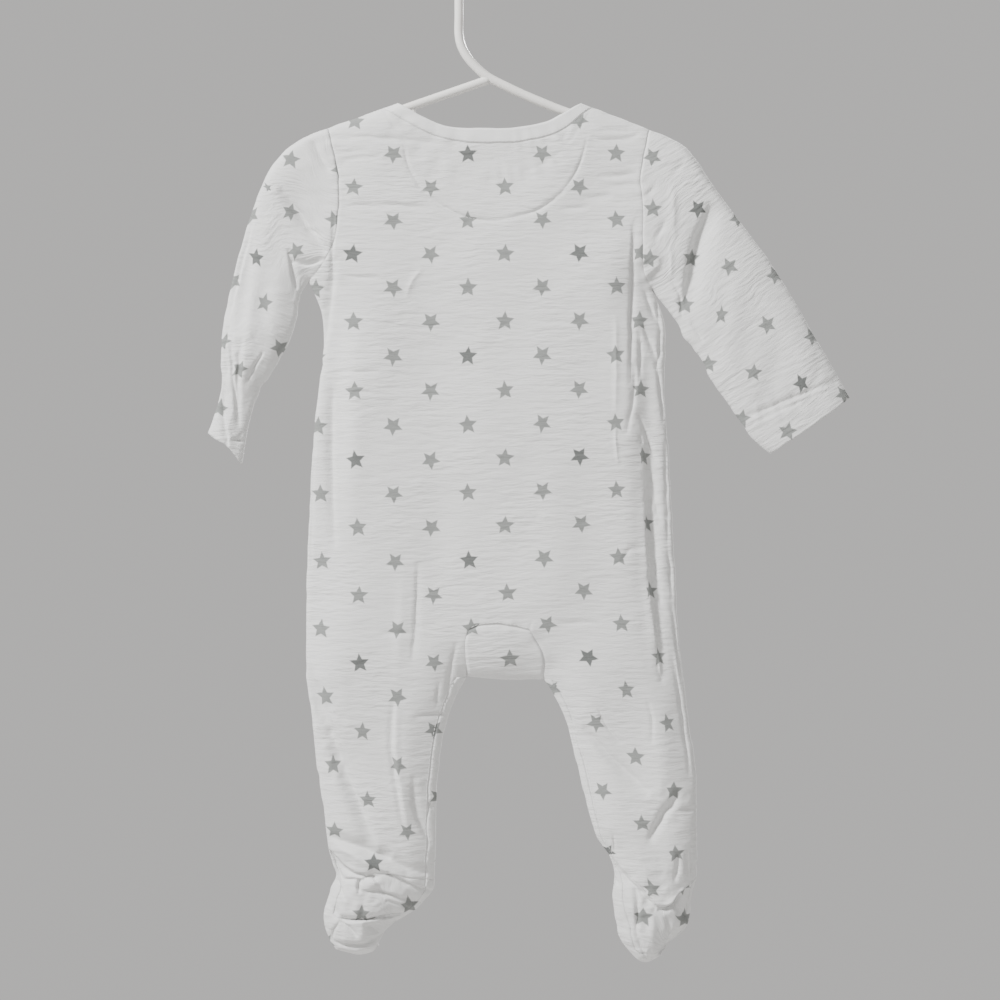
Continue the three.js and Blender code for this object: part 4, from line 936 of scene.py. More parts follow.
# How far the print lies to the right of and below the straight repeat, by height, in four
# columns of the body and in the strip at the right that lies under a fold.
PRINT_COLUMNS = (-110.0, -62.0, 5.0, 72.0, 98.0)
DOWN_FROM, DOWN_TO = -62.0, 72.0
BEFORE_FOLD, AFTER_FOLD = 1.0, 1.5
PRINT_NAMES = "z outer_left inner_left middle inner_right outer_right strip fold down_left down_right"
PRINT_SHIFTS = table(PRINT_NAMES, [
    (-110, -2.0, 0.0, 0.0, 0.0, -0.5, 0.0, 101.0, 1.8, 1.0),
    (-156, -3.0, 0.0, 0.0, 0.0, 0.0, 0.0, 101.0, 1.2, 0.5),
    (-200, -3.7, 0.0, 0.0, 0.0, 0.3, -8.8, 100.0, 0.6, -0.5),
    (-250, -3.0, 0.0, 0.0, 0.0, 0.0, -10.0, 99.0, 0.5, -0.5),
    (-295, -1.6, 0.0, 0.0, 0.0, -1.0, -8.8, 98.5, 1.5, 0.3),
    (-342, -1.0, 0.0, 0.0, 0.0, -1.0, -8.0, 105.0, 2.4, -0.3),
    (-390, 1.5, 0.5, 0.0, 1.5, 0.3, -5.2, 109.0, 2.1, -0.8),
    (-437, 1.8, 2.0, 1.5, 3.0, 2.0, -3.1, 110.0, 1.8, -1.2),
    (-460, 1.1, 3.0, 2.5, 4.3, 3.1, 0.0, 114.0, 1.8, -2.2),
    (-484, 2.0, 2.5, 3.0, 6.5, 5.0, 2.4, 118.0, 1.6, -2.6),
    (-508, 3.9, 2.7, 3.0, 10.0, 6.8, 6.6, 125.0, 1.4, -3.4),
    (-530, 6.5, 1.5, 3.0, 12.1, 10.5, 8.8, 125.0, 2.2, -3.6),
    (-554, 10.0, 2.4, 3.0, 14.5, 13.6, 12.0, 125.0, 1.4, -3.6),
    (-578, 10.0, 5.5, 3.0, 17.0, 16.0, 14.3, 125.0, 2.8, -3.8),
    (-600, 10.2, 9.6, 3.0, 18.5, 18.0, 15.5, 125.0, 1.2, -5.0),
    (-625, 12.4, 12.4, 3.0, 20.0, 19.0, 15.7, 125.0, -1.2, -8.0),
    (-643, 12.4, 12.4, 3.0, 26.0, 25.0, 20.0, 125.0, -1.2, -6.0),
])


def print_on_body(points, side):
    """Places on the print for flat points of the body and the legs."""
    x, z = points.T
    at = {name: np.interp(-z, -PRINT_SHIFTS["z"], column) for name, column in PRINT_SHIFTS.items()}
    columns = [at[name] for name in ("outer_left", "inner_left", "middle", "inner_right", "outer_right")]
    across = columns[0]
    for start, end, before, after in zip(PRINT_COLUMNS, PRINT_COLUMNS[1:], columns, columns[1:]):
        across = across + (after - before) * np.clip((x - start) / (end - start), 0, 1)
    if side < 0:
        in_strip = smooth(at["fold"] - BEFORE_FOLD, at["fold"] + AFTER_FOLD, x)
        across = across + (at["strip"] - at["outer_right"]) * in_strip
    down = at["down_left"] + (at["down_right"] - at["down_left"]) * smooth(DOWN_FROM, DOWN_TO, x)
    place = np.column_stack([x - across - PRINT_START[0], PRINT_START[1] - z - down])
    return place + (FRONT_PRINT_SHIFT if side > 0 else 0)


def whole(rows):
    """Every cell of a patch."""
    return np.ones((rows.shape[0] - 1, rows.shape[1] - 1), bool)


def cloth(name, patches, material, print_place=print_on_body, wraps=False, lift=0.0, mirrored=False):
    """A thin shell of cloth from patches, each its rows of flat points, its side and its cells."""
    places, prints, faces = [], [], []
    total = 0
    for rows, side, kept in patches:
        flat = gathered(rows.reshape(-1, 2), side)
        places.append(on_cloth(flat, side, wraps, lift))
        prints.append(print_place(flat, side))
        corner = np.arange(len(flat)).reshape(rows.shape[:2]) + total
        quads = np.stack([corner[:-1, :-1], corner[:-1, 1:], corner[1:, 1:], corner[1:, :-1]], axis=-1)[kept]
        faces.append(quads[:, ::-1] if (side < 0) != mirrored else quads)
        total += len(flat)
    points, prints, faces = np.vstack(places), np.vstack(prints), np.vstack(faces)
    used, faces = np.unique(faces, return_inverse=True)
    faces = faces.reshape(-1, 4)
    piece = new_piece(name, points[used], faces.tolist(), material)
    layer = piece.data.uv_layers.new(name="print")
    layer.uv.foreach_set("vector", prints[used][faces].astype(np.float32).ravel())
    sew_edges(piece)
    thickness = piece.modifiers.new("thickness", "SOLIDIFY")
    thickness.thickness = CLOTH_THICKNESS * MM
    thickness.offset = -1
    return piece


MERGE_WITHIN = 0.02


def sew_edges(piece):
    """Merges the patches of a piece and draws its edges in by half a seam's gap."""
    shape = bmesh.new()
    shape.from_mesh(piece.data)
    bmesh.ops.remove_doubles(shape, verts=shape.verts, dist=MERGE_WITHIN * MM)
    moves = []
    for point in shape.verts:
        if not point.is_boundary:
            continue
        inner = [edge.other_vert(point).co for edge in point.link_edges if not edge.is_boundary]
        if inner:
            inward = sum(inner, Vector()) / len(inner) - point.co
            moves.append((point, inward.normalized() * SEWN_GAP / 2 * MM))
    for point, move in moves:
        point.co += move
    shape.to_mesh(piece.data)
    shape.free()


# Columns and rows of the cloth's fine grid
EDGE = rounding(5.0, 6)
HANGER_EDGE = rounding(7.6, 6)
BAND_HALF_WIDTH = 10.5
BAND_CELLS = 5
BAND_COLUMNS = np.arange(1, BAND_CELLS + 1) * BAND_HALF_WIDTH / BAND_CELLS
MIDDLE_CELLS = 4 * BAND_CELLS
NECK_SIDE_CELLS = 30
NECKBAND_ROWS = 6
BINDING_THICKNESS = 1.6


def neck_columns(length):
    half = crowded(HANGER_EDGE, NECK_SIDE_CELLS, BAND_COLUMNS)(length / 2)
    return np.concatenate([half, length - half[-2::-1]])


def plain_binding():
    finish = Finish("plain_binding", 0.88, **{"Sheen Weight": 0.08, "Sheen Roughness": 0.5})
    place = finish.add("TexCoord", output=3)
    weave = finish.noise(place, 1500.0)
    finish.put(finish.shader, {"Base Color": finish.mix(weave, (0.66, 0.66, 0.65), (0.71, 0.71, 0.70))})
    finish.bump(weave + finish.noise(place, 300.0), 0.00012)
    return finish.material


binding = plain_binding()


def make_neckband():
    def ring(edge, seam):
        return between(
            walk(line_of(edge, "x", "z"), neck_columns), walk(line_of(seam, "x", "z"), neck_columns),
            walk(line_of(SHOULDERS, "left_x", "left_z")[:2], evenly(NECKBAND_ROWS)),
            walk(line_of(SHOULDERS, "right_x", "right_z")[:2], evenly(NECKBAND_ROWS)),
        )
    back_ring, front_ring = ring(BACK_NECK_EDGE, BACK_NECK_SEAM), ring(FRONT_NECK_EDGE, FRONT_NECK_SEAM)
    patches = [(back_ring, -1, whole(back_ring)), (front_ring, 1, whole(front_ring))]
    piece = cloth("neck_binding", patches, binding, wraps=True)
    piece.modifiers["thickness"].thickness = BINDING_THICKNESS * MM
    return piece


neckband = make_neckband()
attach(neckband, "root")
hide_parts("neckband")

# Back panel: one cut of printed double muslin from the shoulders to both ankles, with an
# arched notch at the crotch into which the small gusset is sewn.
BACK_STRIP = 6.0
FRONT_STRIP = 13.0
STRIP_CELLS = 6
LEG_CELLS = 60
YOKE_CELLS = 60
BODY_CELLS = 128
CROTCH_CELLS = 12
LEG_ROWS = 84
ARMPIT_DROP = 4.0


def layer(neck_seam, strip):
    """The patches of one layer. Its columns are the left leg's, the gusset's and the right leg's."""
    columns = crowded(EDGE, LEG_CELLS, rounding(strip, STRIP_CELLS))
    count = len(EDGE) + LEG_CELLS + STRIP_CELLS
    neck = walk(line_of(neck_seam, "x", "z"), neck_columns)
    shoulder_cells = (2 * count + MIDDLE_CELLS + 1 - len(neck)) // 2
    shoulder_left = walk(line_of(SHOULDERS, "left_x", "left_z")[1:], evenly(shoulder_cells))
    shoulder_right = walk(line_of(SHOULDERS, "right_x", "right_z")[1:], evenly(shoulder_cells))
    top = np.vstack([shoulder_left[::-1], neck[1:-1], shoulder_right])
    arm_rows = crowded(HANGER_EDGE, YOKE_CELLS, [])
    arm_left = walk(line_of(ARMHOLE_LEFT, "x", "z"), arm_rows)
    arm_right = walk(line_of(ARMHOLE_RIGHT, "x", "z"), arm_rows)
    gusset_top = walk(line_of(GUSSET_TOP, "x", "z"), evenly(MIDDLE_CELLS))

    def crossing(left, middle, right):
        left_part = walk([left, middle[0]], columns)
        right_part = walk([right, middle[-1]], columns)[::-1]
        return np.vstack([left_part, middle[1:-1], right_part])

    armpit_level = np.full(len(gusset_top), arm_left[-1, 1] - ARMPIT_DROP)
    armpit_middle = np.column_stack([gusset_top[:, 0], armpit_level])
    armpits = crossing(arm_left[-1], armpit_middle, arm_right[-1])
    side_left = walk(line_of(SIDES, "left_x", "left_z"), evenly(BODY_CELLS))
    side_right = walk(line_of(SIDES, "right_x", "right_z"), evenly(BODY_CELLS))
    hips = crossing(side_left[-1], gusset_top, side_right[-1])
    crotch_rows = crowded([], CROTCH_CELLS, EDGE)
    gusset_left = walk(line_of(GUSSET_LEFT, "x", "z"), crotch_rows)
    gusset_right = walk(line_of(GUSSET_RIGHT, "x", "z"), crotch_rows)

    def leg(hip, side_end, gusset_side, rows, ankle):
        outer = line_of(rows, "outer_x", "outer_z")
        outer_line = np.vstack([walk([side_end, outer[0]], crotch_rows), walk(outer, evenly(LEG_ROWS))[1:]])
        inner_line = np.vstack([gusset_side, walk(line_of(rows, "inner_x", "inner_z"), evenly(LEG_ROWS))[1:]])
        return between(hip, walk(line_of(ankle, "x", "z"), columns), outer_line, inner_line)

    crotch = walk(line_of(CROTCH, "x", "z"), evenly(MIDDLE_CELLS))
    return {
        "yoke": between(top, armpits, arm_left, arm_right, BODY_GRIP),
        "body": between(armpits, hips, side_left, side_right, BODY_GRIP),
        "crotch": between(gusset_top, crotch, gusset_left, gusset_right),
        "leg_left": leg(hips[:count + 1], side_left[-1], gusset_left, LEG_LEFT, ANKLE_LEFT),
        "leg_right": leg(hips[:-count - 2:-1], side_right[-1], gusset_right, LEG_RIGHT, ANKLE_RIGHT),
    }


back_layer = layer(BACK_NECK_SEAM, BACK_STRIP)
front_layer = layer(FRONT_NECK_SEAM, FRONT_STRIP)
LEG_TOP_ROWS = CROTCH_CELLS + len(EDGE)


def beside_strip(rows):
    """The cells of a leg that don't belong to the strip along its opening."""
    kept = whole(rows)
    kept[LEG_TOP_ROWS:, -STRIP_CELLS:] = False
    return kept


def leg_patch(rows, side, kept, right):
    """A leg's patch. The right leg's rows run inwards from its outer edge, so they are turned."""
    return (rows[:, ::-1], side, kept[:, ::-1]) if right else (rows, side, kept)


def printed_muslin():
    """White double muslin with light and dark grey stars, on the cloth's own coordinates."""
    finish = Finish("printed_muslin", 0.92, **{"Sheen Weight": 0.1, "Sheen Roughness": 0.5})
    across_pitch, down_pitch = 51.66, 47.18
    star_radius, notch_radius = 6.9, 3.3
    tilt, raggedness, softness = 0.26, 0.5, 0.55
    half_point = math.pi / 5
    place = finish.add("UVMap", {"uv_map": "print"})
    split = finish.add("SeparateXYZ", sockets={"Vector": place})
    u, v = split, Value(finish, split.socket.node.outputs[1])

    def nearest(half):
        i = finish.maths("FLOOR", u / across_pitch + (0.5 - half))
        j = finish.maths("FLOOR", v / down_pitch + (0.5 - half))
        return i, j, u - (i + half) * across_pitch, v - (j + half) * down_pitch

    even, odd = nearest(0.0), nearest(0.5)
    in_odd = finish.maths(
        "LESS_THAN", odd[2] * odd[2] + odd[3] * odd[3], even[2] * even[2] + even[3] * even[3])
    i, j, du, dv = (a + (b - a) * in_odd for a, b in zip(even, odd))
    cell = finish.add("CombineXYZ", sockets={"X": i, "Y": j, "Z": in_odd})
    chance = finish.add("TexWhiteNoise", {"noise_dimensions": "3D"}, {"Vector": cell}, output=0)
    way = 1 - 2 * finish.maths("FLOORED_MODULO", i, 2)
    x, y = du * way, (0 - dv) * way
    turn = finish.maths("ARCTAN2", x, y) + tilt * (chance - 0.5)
    folded = finish.maths("PINGPONG", turn, half_point)
    reach = finish.maths("SQRT", x * x + y * y)
    tip = np.array([star_radius, 0])
    notch = notch_radius * np.array([math.cos(half_point), math.sin(half_point)])
    edge = (notch - tip) / np.linalg.norm(notch - tip)
    past_edge = (reach * finish.maths("COSINE", folded) - star_radius) * float(edge[1]) \
        - reach * finish.maths("SINE", folded) * float(edge[0])
    ragged = finish.noise(place, 0.9)
    star = finish.maths("MULTIPLY", 1.0, 0.5 - (past_edge + raggedness * (ragged - 0.5)) / softness)
    star = finish.add("Clamp", sockets={"Value": star})
    third_i = finish.maths("FLOORED_MODULO", i - in_odd, 3)
    third_j = finish.maths("FLOORED_MODULO", j - in_odd, 3)
    dark = finish.maths("LESS_THAN", third_i + third_j, 0.5)
    mottled = finish.noise(place, 0.35, 3.0)
    cloth_colour = finish.mix(mottled, (0.62, 0.62, 0.61), (0.67, 0.67, 0.66))
    light_ink = finish.mix(mottled, (0.165, 0.173, 0.165), (0.20, 0.208, 0.20))
    dark_ink = finish.mix(mottled, (0.078, 0.084, 0.08), (0.10, 0.106, 0.102))
    ink = finish.mix(dark, light_ink, dark_ink)
    finish.put(finish.shader, {"Base Color": finish.mix(star * (0.9 + 0.1 * ragged), cloth_colour, ink)})
    stretched = finish.add("VectorMath", {"operation": "MULTIPLY"}, {0: place, 1: (0.07, 0.34, 1.0)})
    threads = finish.add("VectorMath", {"operation": "MULTIPLY"}, {0: place, 1: (1.4, 1.7, 1.0)})
    patches = finish.add("Clamp", sockets={"Value": 3.2 * (finish.noise(place, 0.022, 1.0) - 0.4)})
    crinkle = finish.noise(stretched, 1.0, 3.0) * (0.4 + 0.6 * patches)
    finish.bump(crinkle + 0.12 * finish.noise(threads, 1.0, 1.0), 0.0017)
    return finish.material


muslin = printed_muslin()


def make_back_panel():
    patches = [
        (back_layer["yoke"], -1, whole(back_layer["yoke"])),
        (back_layer["body"], -1, whole(back_layer["body"])),
        leg_patch(back_layer["leg_left"], -1, beside_strip(back_layer["leg_left"]), False),
        leg_patch(back_layer["leg_right"], -1, beside_strip(back_layer["leg_right"]), True),
    ]
    return cloth("back_cloth", patches, muslin)


back_panel = make_back_panel()
gusset = cloth("back_gusset_cloth", [(back_layer["crotch"], -1, whole(back_layer["crotch"]))], muslin)
for piece, node in ((back_panel, "back_panel"), (gusset, "back_gusset")):
    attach(piece, "root")
    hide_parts(node)

# Fronts: two panels of the same muslin that meet at the middle, under the front band.
def make_front(name, right):
    middle = front_layer["yoke"].shape[1] // 2
    crotch_middle = MIDDLE_CELLS // 2

    def half(rows, centre):
        kept = whole(rows)
        kept[:, :centre] = not right
        kept[:, centre:] = right
        return rows, 1, kept

    leg_name = "leg_right" if right else "leg_left"
    patches = [
        half(front_layer["yoke"], middle),
        half(front_layer["body"], middle),
        half(front_layer["crotch"], crotch_middle),
        leg_patch(front_layer[leg_name], 1, beside_strip(front_layer[leg_name]), right),
    ]
    return cloth(name, patches, muslin)


for name, node, right in (
    ("front_left_cloth", "front_left", False), ("front_right_cloth", "front_right", True),
):
    front = make_front(name, right)
    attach(front, "root")
    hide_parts(node)

# Front band: a strip of the plain binding cloth sewn over the front opening, from the
# neckband to the crotch. Seven enamelled poppers hold it shut.
BAND_LIFT = WALL + SEAM_GAP


def make_front_band():
    def beside_middle(rows):
        kept = np.zeros((rows.shape[0] - 1, rows.shape[1] - 1), bool)
        centre = rows.shape[1] // 2
        kept[:, centre - BAND_CELLS:centre + BAND_CELLS] = True
        return rows, 1, kept
    crotch = front_layer["crotch"][:CROTCH_CELLS + 1]
    patches = [beside_middle(rows) for rows in (front_layer["yoke"], front_layer["body"], crotch)]
    return cloth("front_band_cloth", patches, binding, lift=BAND_LIFT)


front_band = make_front_band()
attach(front_band, "root")
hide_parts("front_band")

POPPER_PROFILE = table("radius height", [
    (0.0, 0.0), (4.2, 0.0), (4.5, 0.25), (4.5, 0.7), (4.35, 0.9), (3.9, 0.98), (3.5, 0.9), (3.2, 0.95),
    (2.8, 1.25), (2.1, 1.55), (1.2, 1.73), (0.0, 1.8),
])
POPPER_SIDES = 40


def popper_enamel():
    finish = Finish("popper_enamel", 0.25, IOR=1.5)
    place = finish.add("TexCoord", output=3)
    worn = finish.noise(place, 900.0)
    finish.put(finish.shader, {
        "Base Color": finish.mix(worn, (0.76, 0.76, 0.75), (0.82, 0.82, 0.81)),
        "Roughness": 0.2 + 0.15 * worn,
    })
    finish.bump(worn, 0.00003)
    return finish.material


enamel = popper_enamel()


def make_popper(node):
    low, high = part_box(node)
    centre = np.array([(low.x + high.x) / 2, low.y, (low.z + high.z) / 2]) / MM
    turn = np.linspace(0, 2 * np.pi, POPPER_SIDES, endpoint=False)
    radius, height = POPPER_PROFILE["radius"][1:-1, None], POPPER_PROFILE["height"][1:-1, None]
    ring = np.stack([radius * np.cos(turn), height + 0 * turn, radius * np.sin(turn)], axis=-1).reshape(-1, 3)
    base, top = len(ring), len(ring) + 1
    points = np.vstack([ring, [(0, 0, 0), (0, POPPER_PROFILE["height"][-1], 0)]]) + centre
    corner = np.arange(base).reshape(-1, POPPER_SIDES)
    beside = np.roll(corner, -1, axis=1)
    faces = np.stack([corner[:-1], beside[:-1], beside[1:], corner[1:]], axis=-1).reshape(-1, 4).tolist()
    faces += [[base, b, a] for a, b in zip(corner[0], beside[0])]
    faces += [[top, a, b] for a, b in zip(corner[-1], beside[-1])]
    cap = new_piece(f"{node}_cap", points, faces, enamel)
    tidy_mesh(cap)
    return cap


for node in sorted(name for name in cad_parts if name.startswith("popper_")):
    popper = make_popper(node)
    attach(popper, "root")
    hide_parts(node)

# Leg strips: the leg opening runs down the inside of both legs, and a strip of muslin folds
# round the inner edge of each, narrow on the back and wider on the front.
def make_leg_strip(name, leg_name, right):
    patches = []
    for rows, side in ((back_layer[leg_name], -1), (front_layer[leg_name], 1)):
        patches.append(leg_patch(rows, side, whole(rows) & ~beside_strip(rows), right))
    return cloth(name, patches, muslin, wraps=True)


for name, node, leg_name, right in (
    ("leg_strip_left_cloth", "leg_strip_left", "leg_left", False),
    ("leg_strip_right_cloth", "leg_strip_right", "leg_right", True),
):
    strip = make_leg_strip(name, leg_name, right)
    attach(strip, "root")
    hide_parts(node)

# Sleeves: a tube of muslin each, set into the armhole, with the hem turned up and stitched.
# The print follows the arm, from one dark star.
SLEEVE_ROWS = 132
SLEEVE_COLUMNS = 56
SLEEVE_FADE = 4
PRINT_MOVE_REACH = 12.0
UNMOVED_SHARE = 0.06
LEFT_SLEEVE_LEAN, LEFT_SLEEVE_STAR = -0.25, np.array([-176.0, -207.0])
RIGHT_SLEEVE_LEAN, RIGHT_SLEEVE_STAR = 0.537, np.array([145.6, -170.5])

# How far the folds of the sleeves move the print to the right and down, at some places
LEFT_SLEEVE_MOVES = table("x z right down", [
    (-162.4, -204.8, 13.7, -2.2), (-156.8, -236.3, 0.0, 0.0), (-174.3, -281.8, -5.9, 0.0),
    (-146.3, -267.8, -8.8, 2.0), (-184.8, -265.0, 2.9, 11.9), (-135.1, -198.5, -9.1, -20.8),
    (-138.6, -171.2, 6.6, -19.3), (-138.6, -135.5, -5.0, -9.2), (-107.1, -178.9, 7.0, 4.9),
    (-104.3, -143.9, -1.4, 15.4), (-116.2, -214.6, -9.1, -34.4), (-175.7, -220.2, 30.8, -3.5),
    (-164.5, -174.0, 30.8, -3.5), (-187.6, -310.5, 11.9, 11.9),
    (-173.0, -334.0, 24.0, 0.0),
])
RIGHT_SLEEVE_MOVES = table("x z right down", [
    (114.1, -136.2, -8.1, 5.0), (114.8, -171.9, 2.8, 7.7), (113.4, -205.5, 11.2, 9.1),
    (142.1, -203.4, 6.3, 0.7), (137.9, -235.6, 12.0, 0.0), (152.6, -276.2, 3.5, 0.7),
    (175.0, -312.6, 2.8, -2.0), (145.6, -170.5, 0.0, 0.0), (165.9, -209.6, -2.8, 0.0),
    (244.3, -295.0, -4.9, 0.7), (172.9, -176.0, -6.1, -1.0), (198.1, -214.6, -4.2, -1.8),
    (223.3, -256.6, -2.4, 0.7),
])


def print_on_sleeve(star, lean, moves):
    """The print on a sleeve that leans from straight down, moved by its folds."""
    down = np.array([math.sin(lean), -math.cos(lean)])
    across = np.array([math.cos(lean), math.sin(lean)])
    spots, shifts = line_of(moves, "x", "z"), np.column_stack([moves["right"], -moves["down"]])

    def place(points, side):
        share = np.exp(-((points[:, None] - spots) ** 2).sum(2) / PRINT_MOVE_REACH ** 2)
        moved = share @ shifts / (share.sum(1) + UNMOVED_SHARE)[:, None]
        offset = points - star - (moved if side < 0 else 0)
        found = np.column_stack([offset @ across, offset @ down])
        return found + (FRONT_PRINT_SHIFT if side > 0 else 0)
    return place


def make_sleeve(name, sections, armhole, cuff, print_place, mirrored):
    rows = evenly(SLEEVE_ROWS)
    columns = crowded(HANGER_EDGE, SLEEVE_COLUMNS, EDGE)
    end_columns = crowded(EDGE, SLEEVE_COLUMNS, EDGE)
    sheet = between(
        walk(line_of(armhole, "x", "z"), columns), walk(line_of(cuff, "x", "z"), end_columns),
        walk(line_of(sections, "top_x", "top_z"), rows), walk(line_of(sections, "under_x", "under_z"), rows),
        fade=SLEEVE_FADE,
    )
    patches = [(sheet, -1, whole(sheet)), (sheet, 1, whole(sheet))]
    return cloth(name, patches, muslin, print_place, wraps=True, mirrored=mirrored)


left_print = print_on_sleeve(LEFT_SLEEVE_STAR, LEFT_SLEEVE_LEAN, LEFT_SLEEVE_MOVES)
right_print = print_on_sleeve(RIGHT_SLEEVE_STAR, RIGHT_SLEEVE_LEAN, RIGHT_SLEEVE_MOVES)
sleeve_left = make_sleeve("sleeve_left_cloth", SLEEVE_LEFT, ARMHOLE_LEFT, CUFF_LEFT, left_print, False)
sleeve_right = make_sleeve("sleeve_right_cloth", SLEEVE_RIGHT, ARMHOLE_RIGHT, CUFF_RIGHT, right_print, True)
for sleeve, node, flat, area in (
    (sleeve_left, "sleeve_left", (0.24, 0.20), 0.0240),
    (sleeve_right, "sleeve_right", (0.26, 0.20), 0.0330),
):
    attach(sleeve, "root")
    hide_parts(node)

# Feet: each foot's upper goes round both its sides and over the toes, and the sole is sewn
# into the gap in its back. The feet swing forward as they hang.
FOOT_OUTER_CELLS, FOOT_MIDDLE_CELLS, FOOT_INNER_CELLS = 7, 56, 7
HEEL_ROWS, TIP_ROWS = 40, 20
ANKLE_OUTER = 3.6
TOE_EDGE, TOE_ROUNDING_ROWS = 4.0, 5

# On each sole two light stars show, closer together than the repeat because of the folds.
ONE_REPEAT = np.array([0.0, 47.18])
LEFT_SOLE_MOVES = table("x z right down", [(-88.9, -661.2, 0.0, 0.0), (-55.3, -658.4, 7.8, 20.8)])
RIGHT_SOLE_MOVES = table("x z right down", [(107.5, -664.2, 0.0, 0.0), (137.2, -668.7, 4.0, 28.1)])
FEET = {
    "left": {
        "sides": FOOT_LEFT, "cut": SOLE_ROW_LEFT, "ankle": ANKLE_LEFT, "sole_end": SOLE_END_LEFT,
        "toe": TOE_LEFT, "outer": 8.0, "inner": 4.5, "area": 0.0061,
        "print": print_on_sleeve(np.array([-88.9, -661.2]), 0.0, LEFT_SOLE_MOVES),
    },
    "right": {
        "sides": FOOT_RIGHT, "cut": SOLE_ROW_RIGHT, "ankle": ANKLE_RIGHT, "sole_end": SOLE_END_RIGHT,
        "toe": TOE_RIGHT, "outer": 2.0, "inner": 10.0, "area": 0.0040,
        "print": print_on_sleeve(np.array([107.5, -664.2]), 0.0, RIGHT_SOLE_MOVES),
    },
}


def make_foot(side_name, foot, right):
    def columns(outer, inner):
        outer_edge, inner_edge = rounding(outer, FOOT_OUTER_CELLS), rounding(inner, FOOT_INNER_CELLS)
        return crowded(outer_edge, FOOT_MIDDLE_CELLS, inner_edge)

    outer_heel, outer_tip, inner_heel, inner_tip = cut_at(foot["sides"], foot["cut"], ("outer", "inner"))
    end_line = walk(line_of(foot["sole_end"], "x", "z"), columns(foot["outer"], foot["inner"]))
    toe_line = walk(line_of(foot["toe"], "x", "z"), columns(TOE_EDGE, TOE_EDGE))
    heel_rows = evenly(HEEL_ROWS)
    tip_rows = crowded([], TIP_ROWS, rounding(TOE_EDGE, TOE_ROUNDING_ROWS))

    def heel(strip):
        ankle_line = walk(line_of(foot["ankle"], "x", "z"), columns(ANKLE_OUTER, strip))
        return between(ankle_line, end_line, walk(outer_heel, heel_rows), walk(inner_heel, heel_rows))

    tip = between(end_line, toe_line, walk(outer_tip, tip_rows), walk(inner_tip, tip_rows))
    back_heel, front_heel = heel(BACK_STRIP), heel(FRONT_STRIP)
    def print_place(points, side):
        return foot["print"](points, side) + ONE_REPEAT

    in_sole = np.zeros((back_heel.shape[0] - 1, back_heel.shape[1] - 1), bool)
    in_sole[:, FOOT_OUTER_CELLS:-FOOT_INNER_CELLS] = True
    upper = [
        leg_patch(back_heel, -1, ~in_sole, right), leg_patch(tip, -1, whole(tip), right),
        leg_patch(front_heel, 1, whole(front_heel), right), leg_patch(tip, 1, whole(tip), right),
    ]
    return (
        cloth(f"foot_upper_{side_name}_cloth", upper, muslin, print_place, wraps=True),
        cloth(f"sole_{side_name}_cloth", [leg_patch(back_heel, -1, in_sole, right)], muslin, print_place),
    )


for side_name, foot in FEET.items():
    upper, sole = make_foot(side_name, foot, side_name == "right")
    for piece, node, flat, area in (
        (upper, f"foot_upper_{side_name}", (0.14, 0.075), foot["area"]),
        (sole, f"sole_{side_name}", (0.060, 0.045), 0.0019),
    ):
        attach(piece, "root")
        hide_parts(node)

# Stitching: rows of white cotton thread, sewn by machine. They close the hems of the sleeves,
# and hold the neckband, the facing inside the neck, the front band, the gusset and the strips
# of the leg opening. Every stitch is a small long bead that lies on the cloth.
STITCH_PITCH = 2.7
STITCH_LENGTH = 2.1
THREAD_WIDTH = 0.42
HEM_WIDTH_LEFT, HEM_WIDTH_RIGHT = 12.0, 17.0
FROM_SEAM = 1.3
FROM_BAND_EDGE = 1.6
ENDS_LEFT_OUT = 3
HEM_LINE_CELLS, HEM_ROW_CELLS = 60, 200
FACING_LINE = table("x z", [
    (-59.5, -121.5), (-53.9, -143.9), (-39.9, -165.6), (-14.7, -176.8), (9.1, -178.9),
    (32.2, -172.6), (51.1, -160.0), (62.3, -142.5), (68.6, -121.5),
])


def cotton_thread():
    finish = Finish("cotton_thread", 0.7, **{"Sheen Weight": 0.1})
    place = finish.add("TexCoord", output=3)
    twist = finish.noise(place, 4000.0)
    finish.put(finish.shader, {"Base Color": finish.mix(twist, (0.60, 0.60, 0.59), (0.72, 0.72, 0.71))})
    finish.bump(twist, 0.0001)
    return finish.material


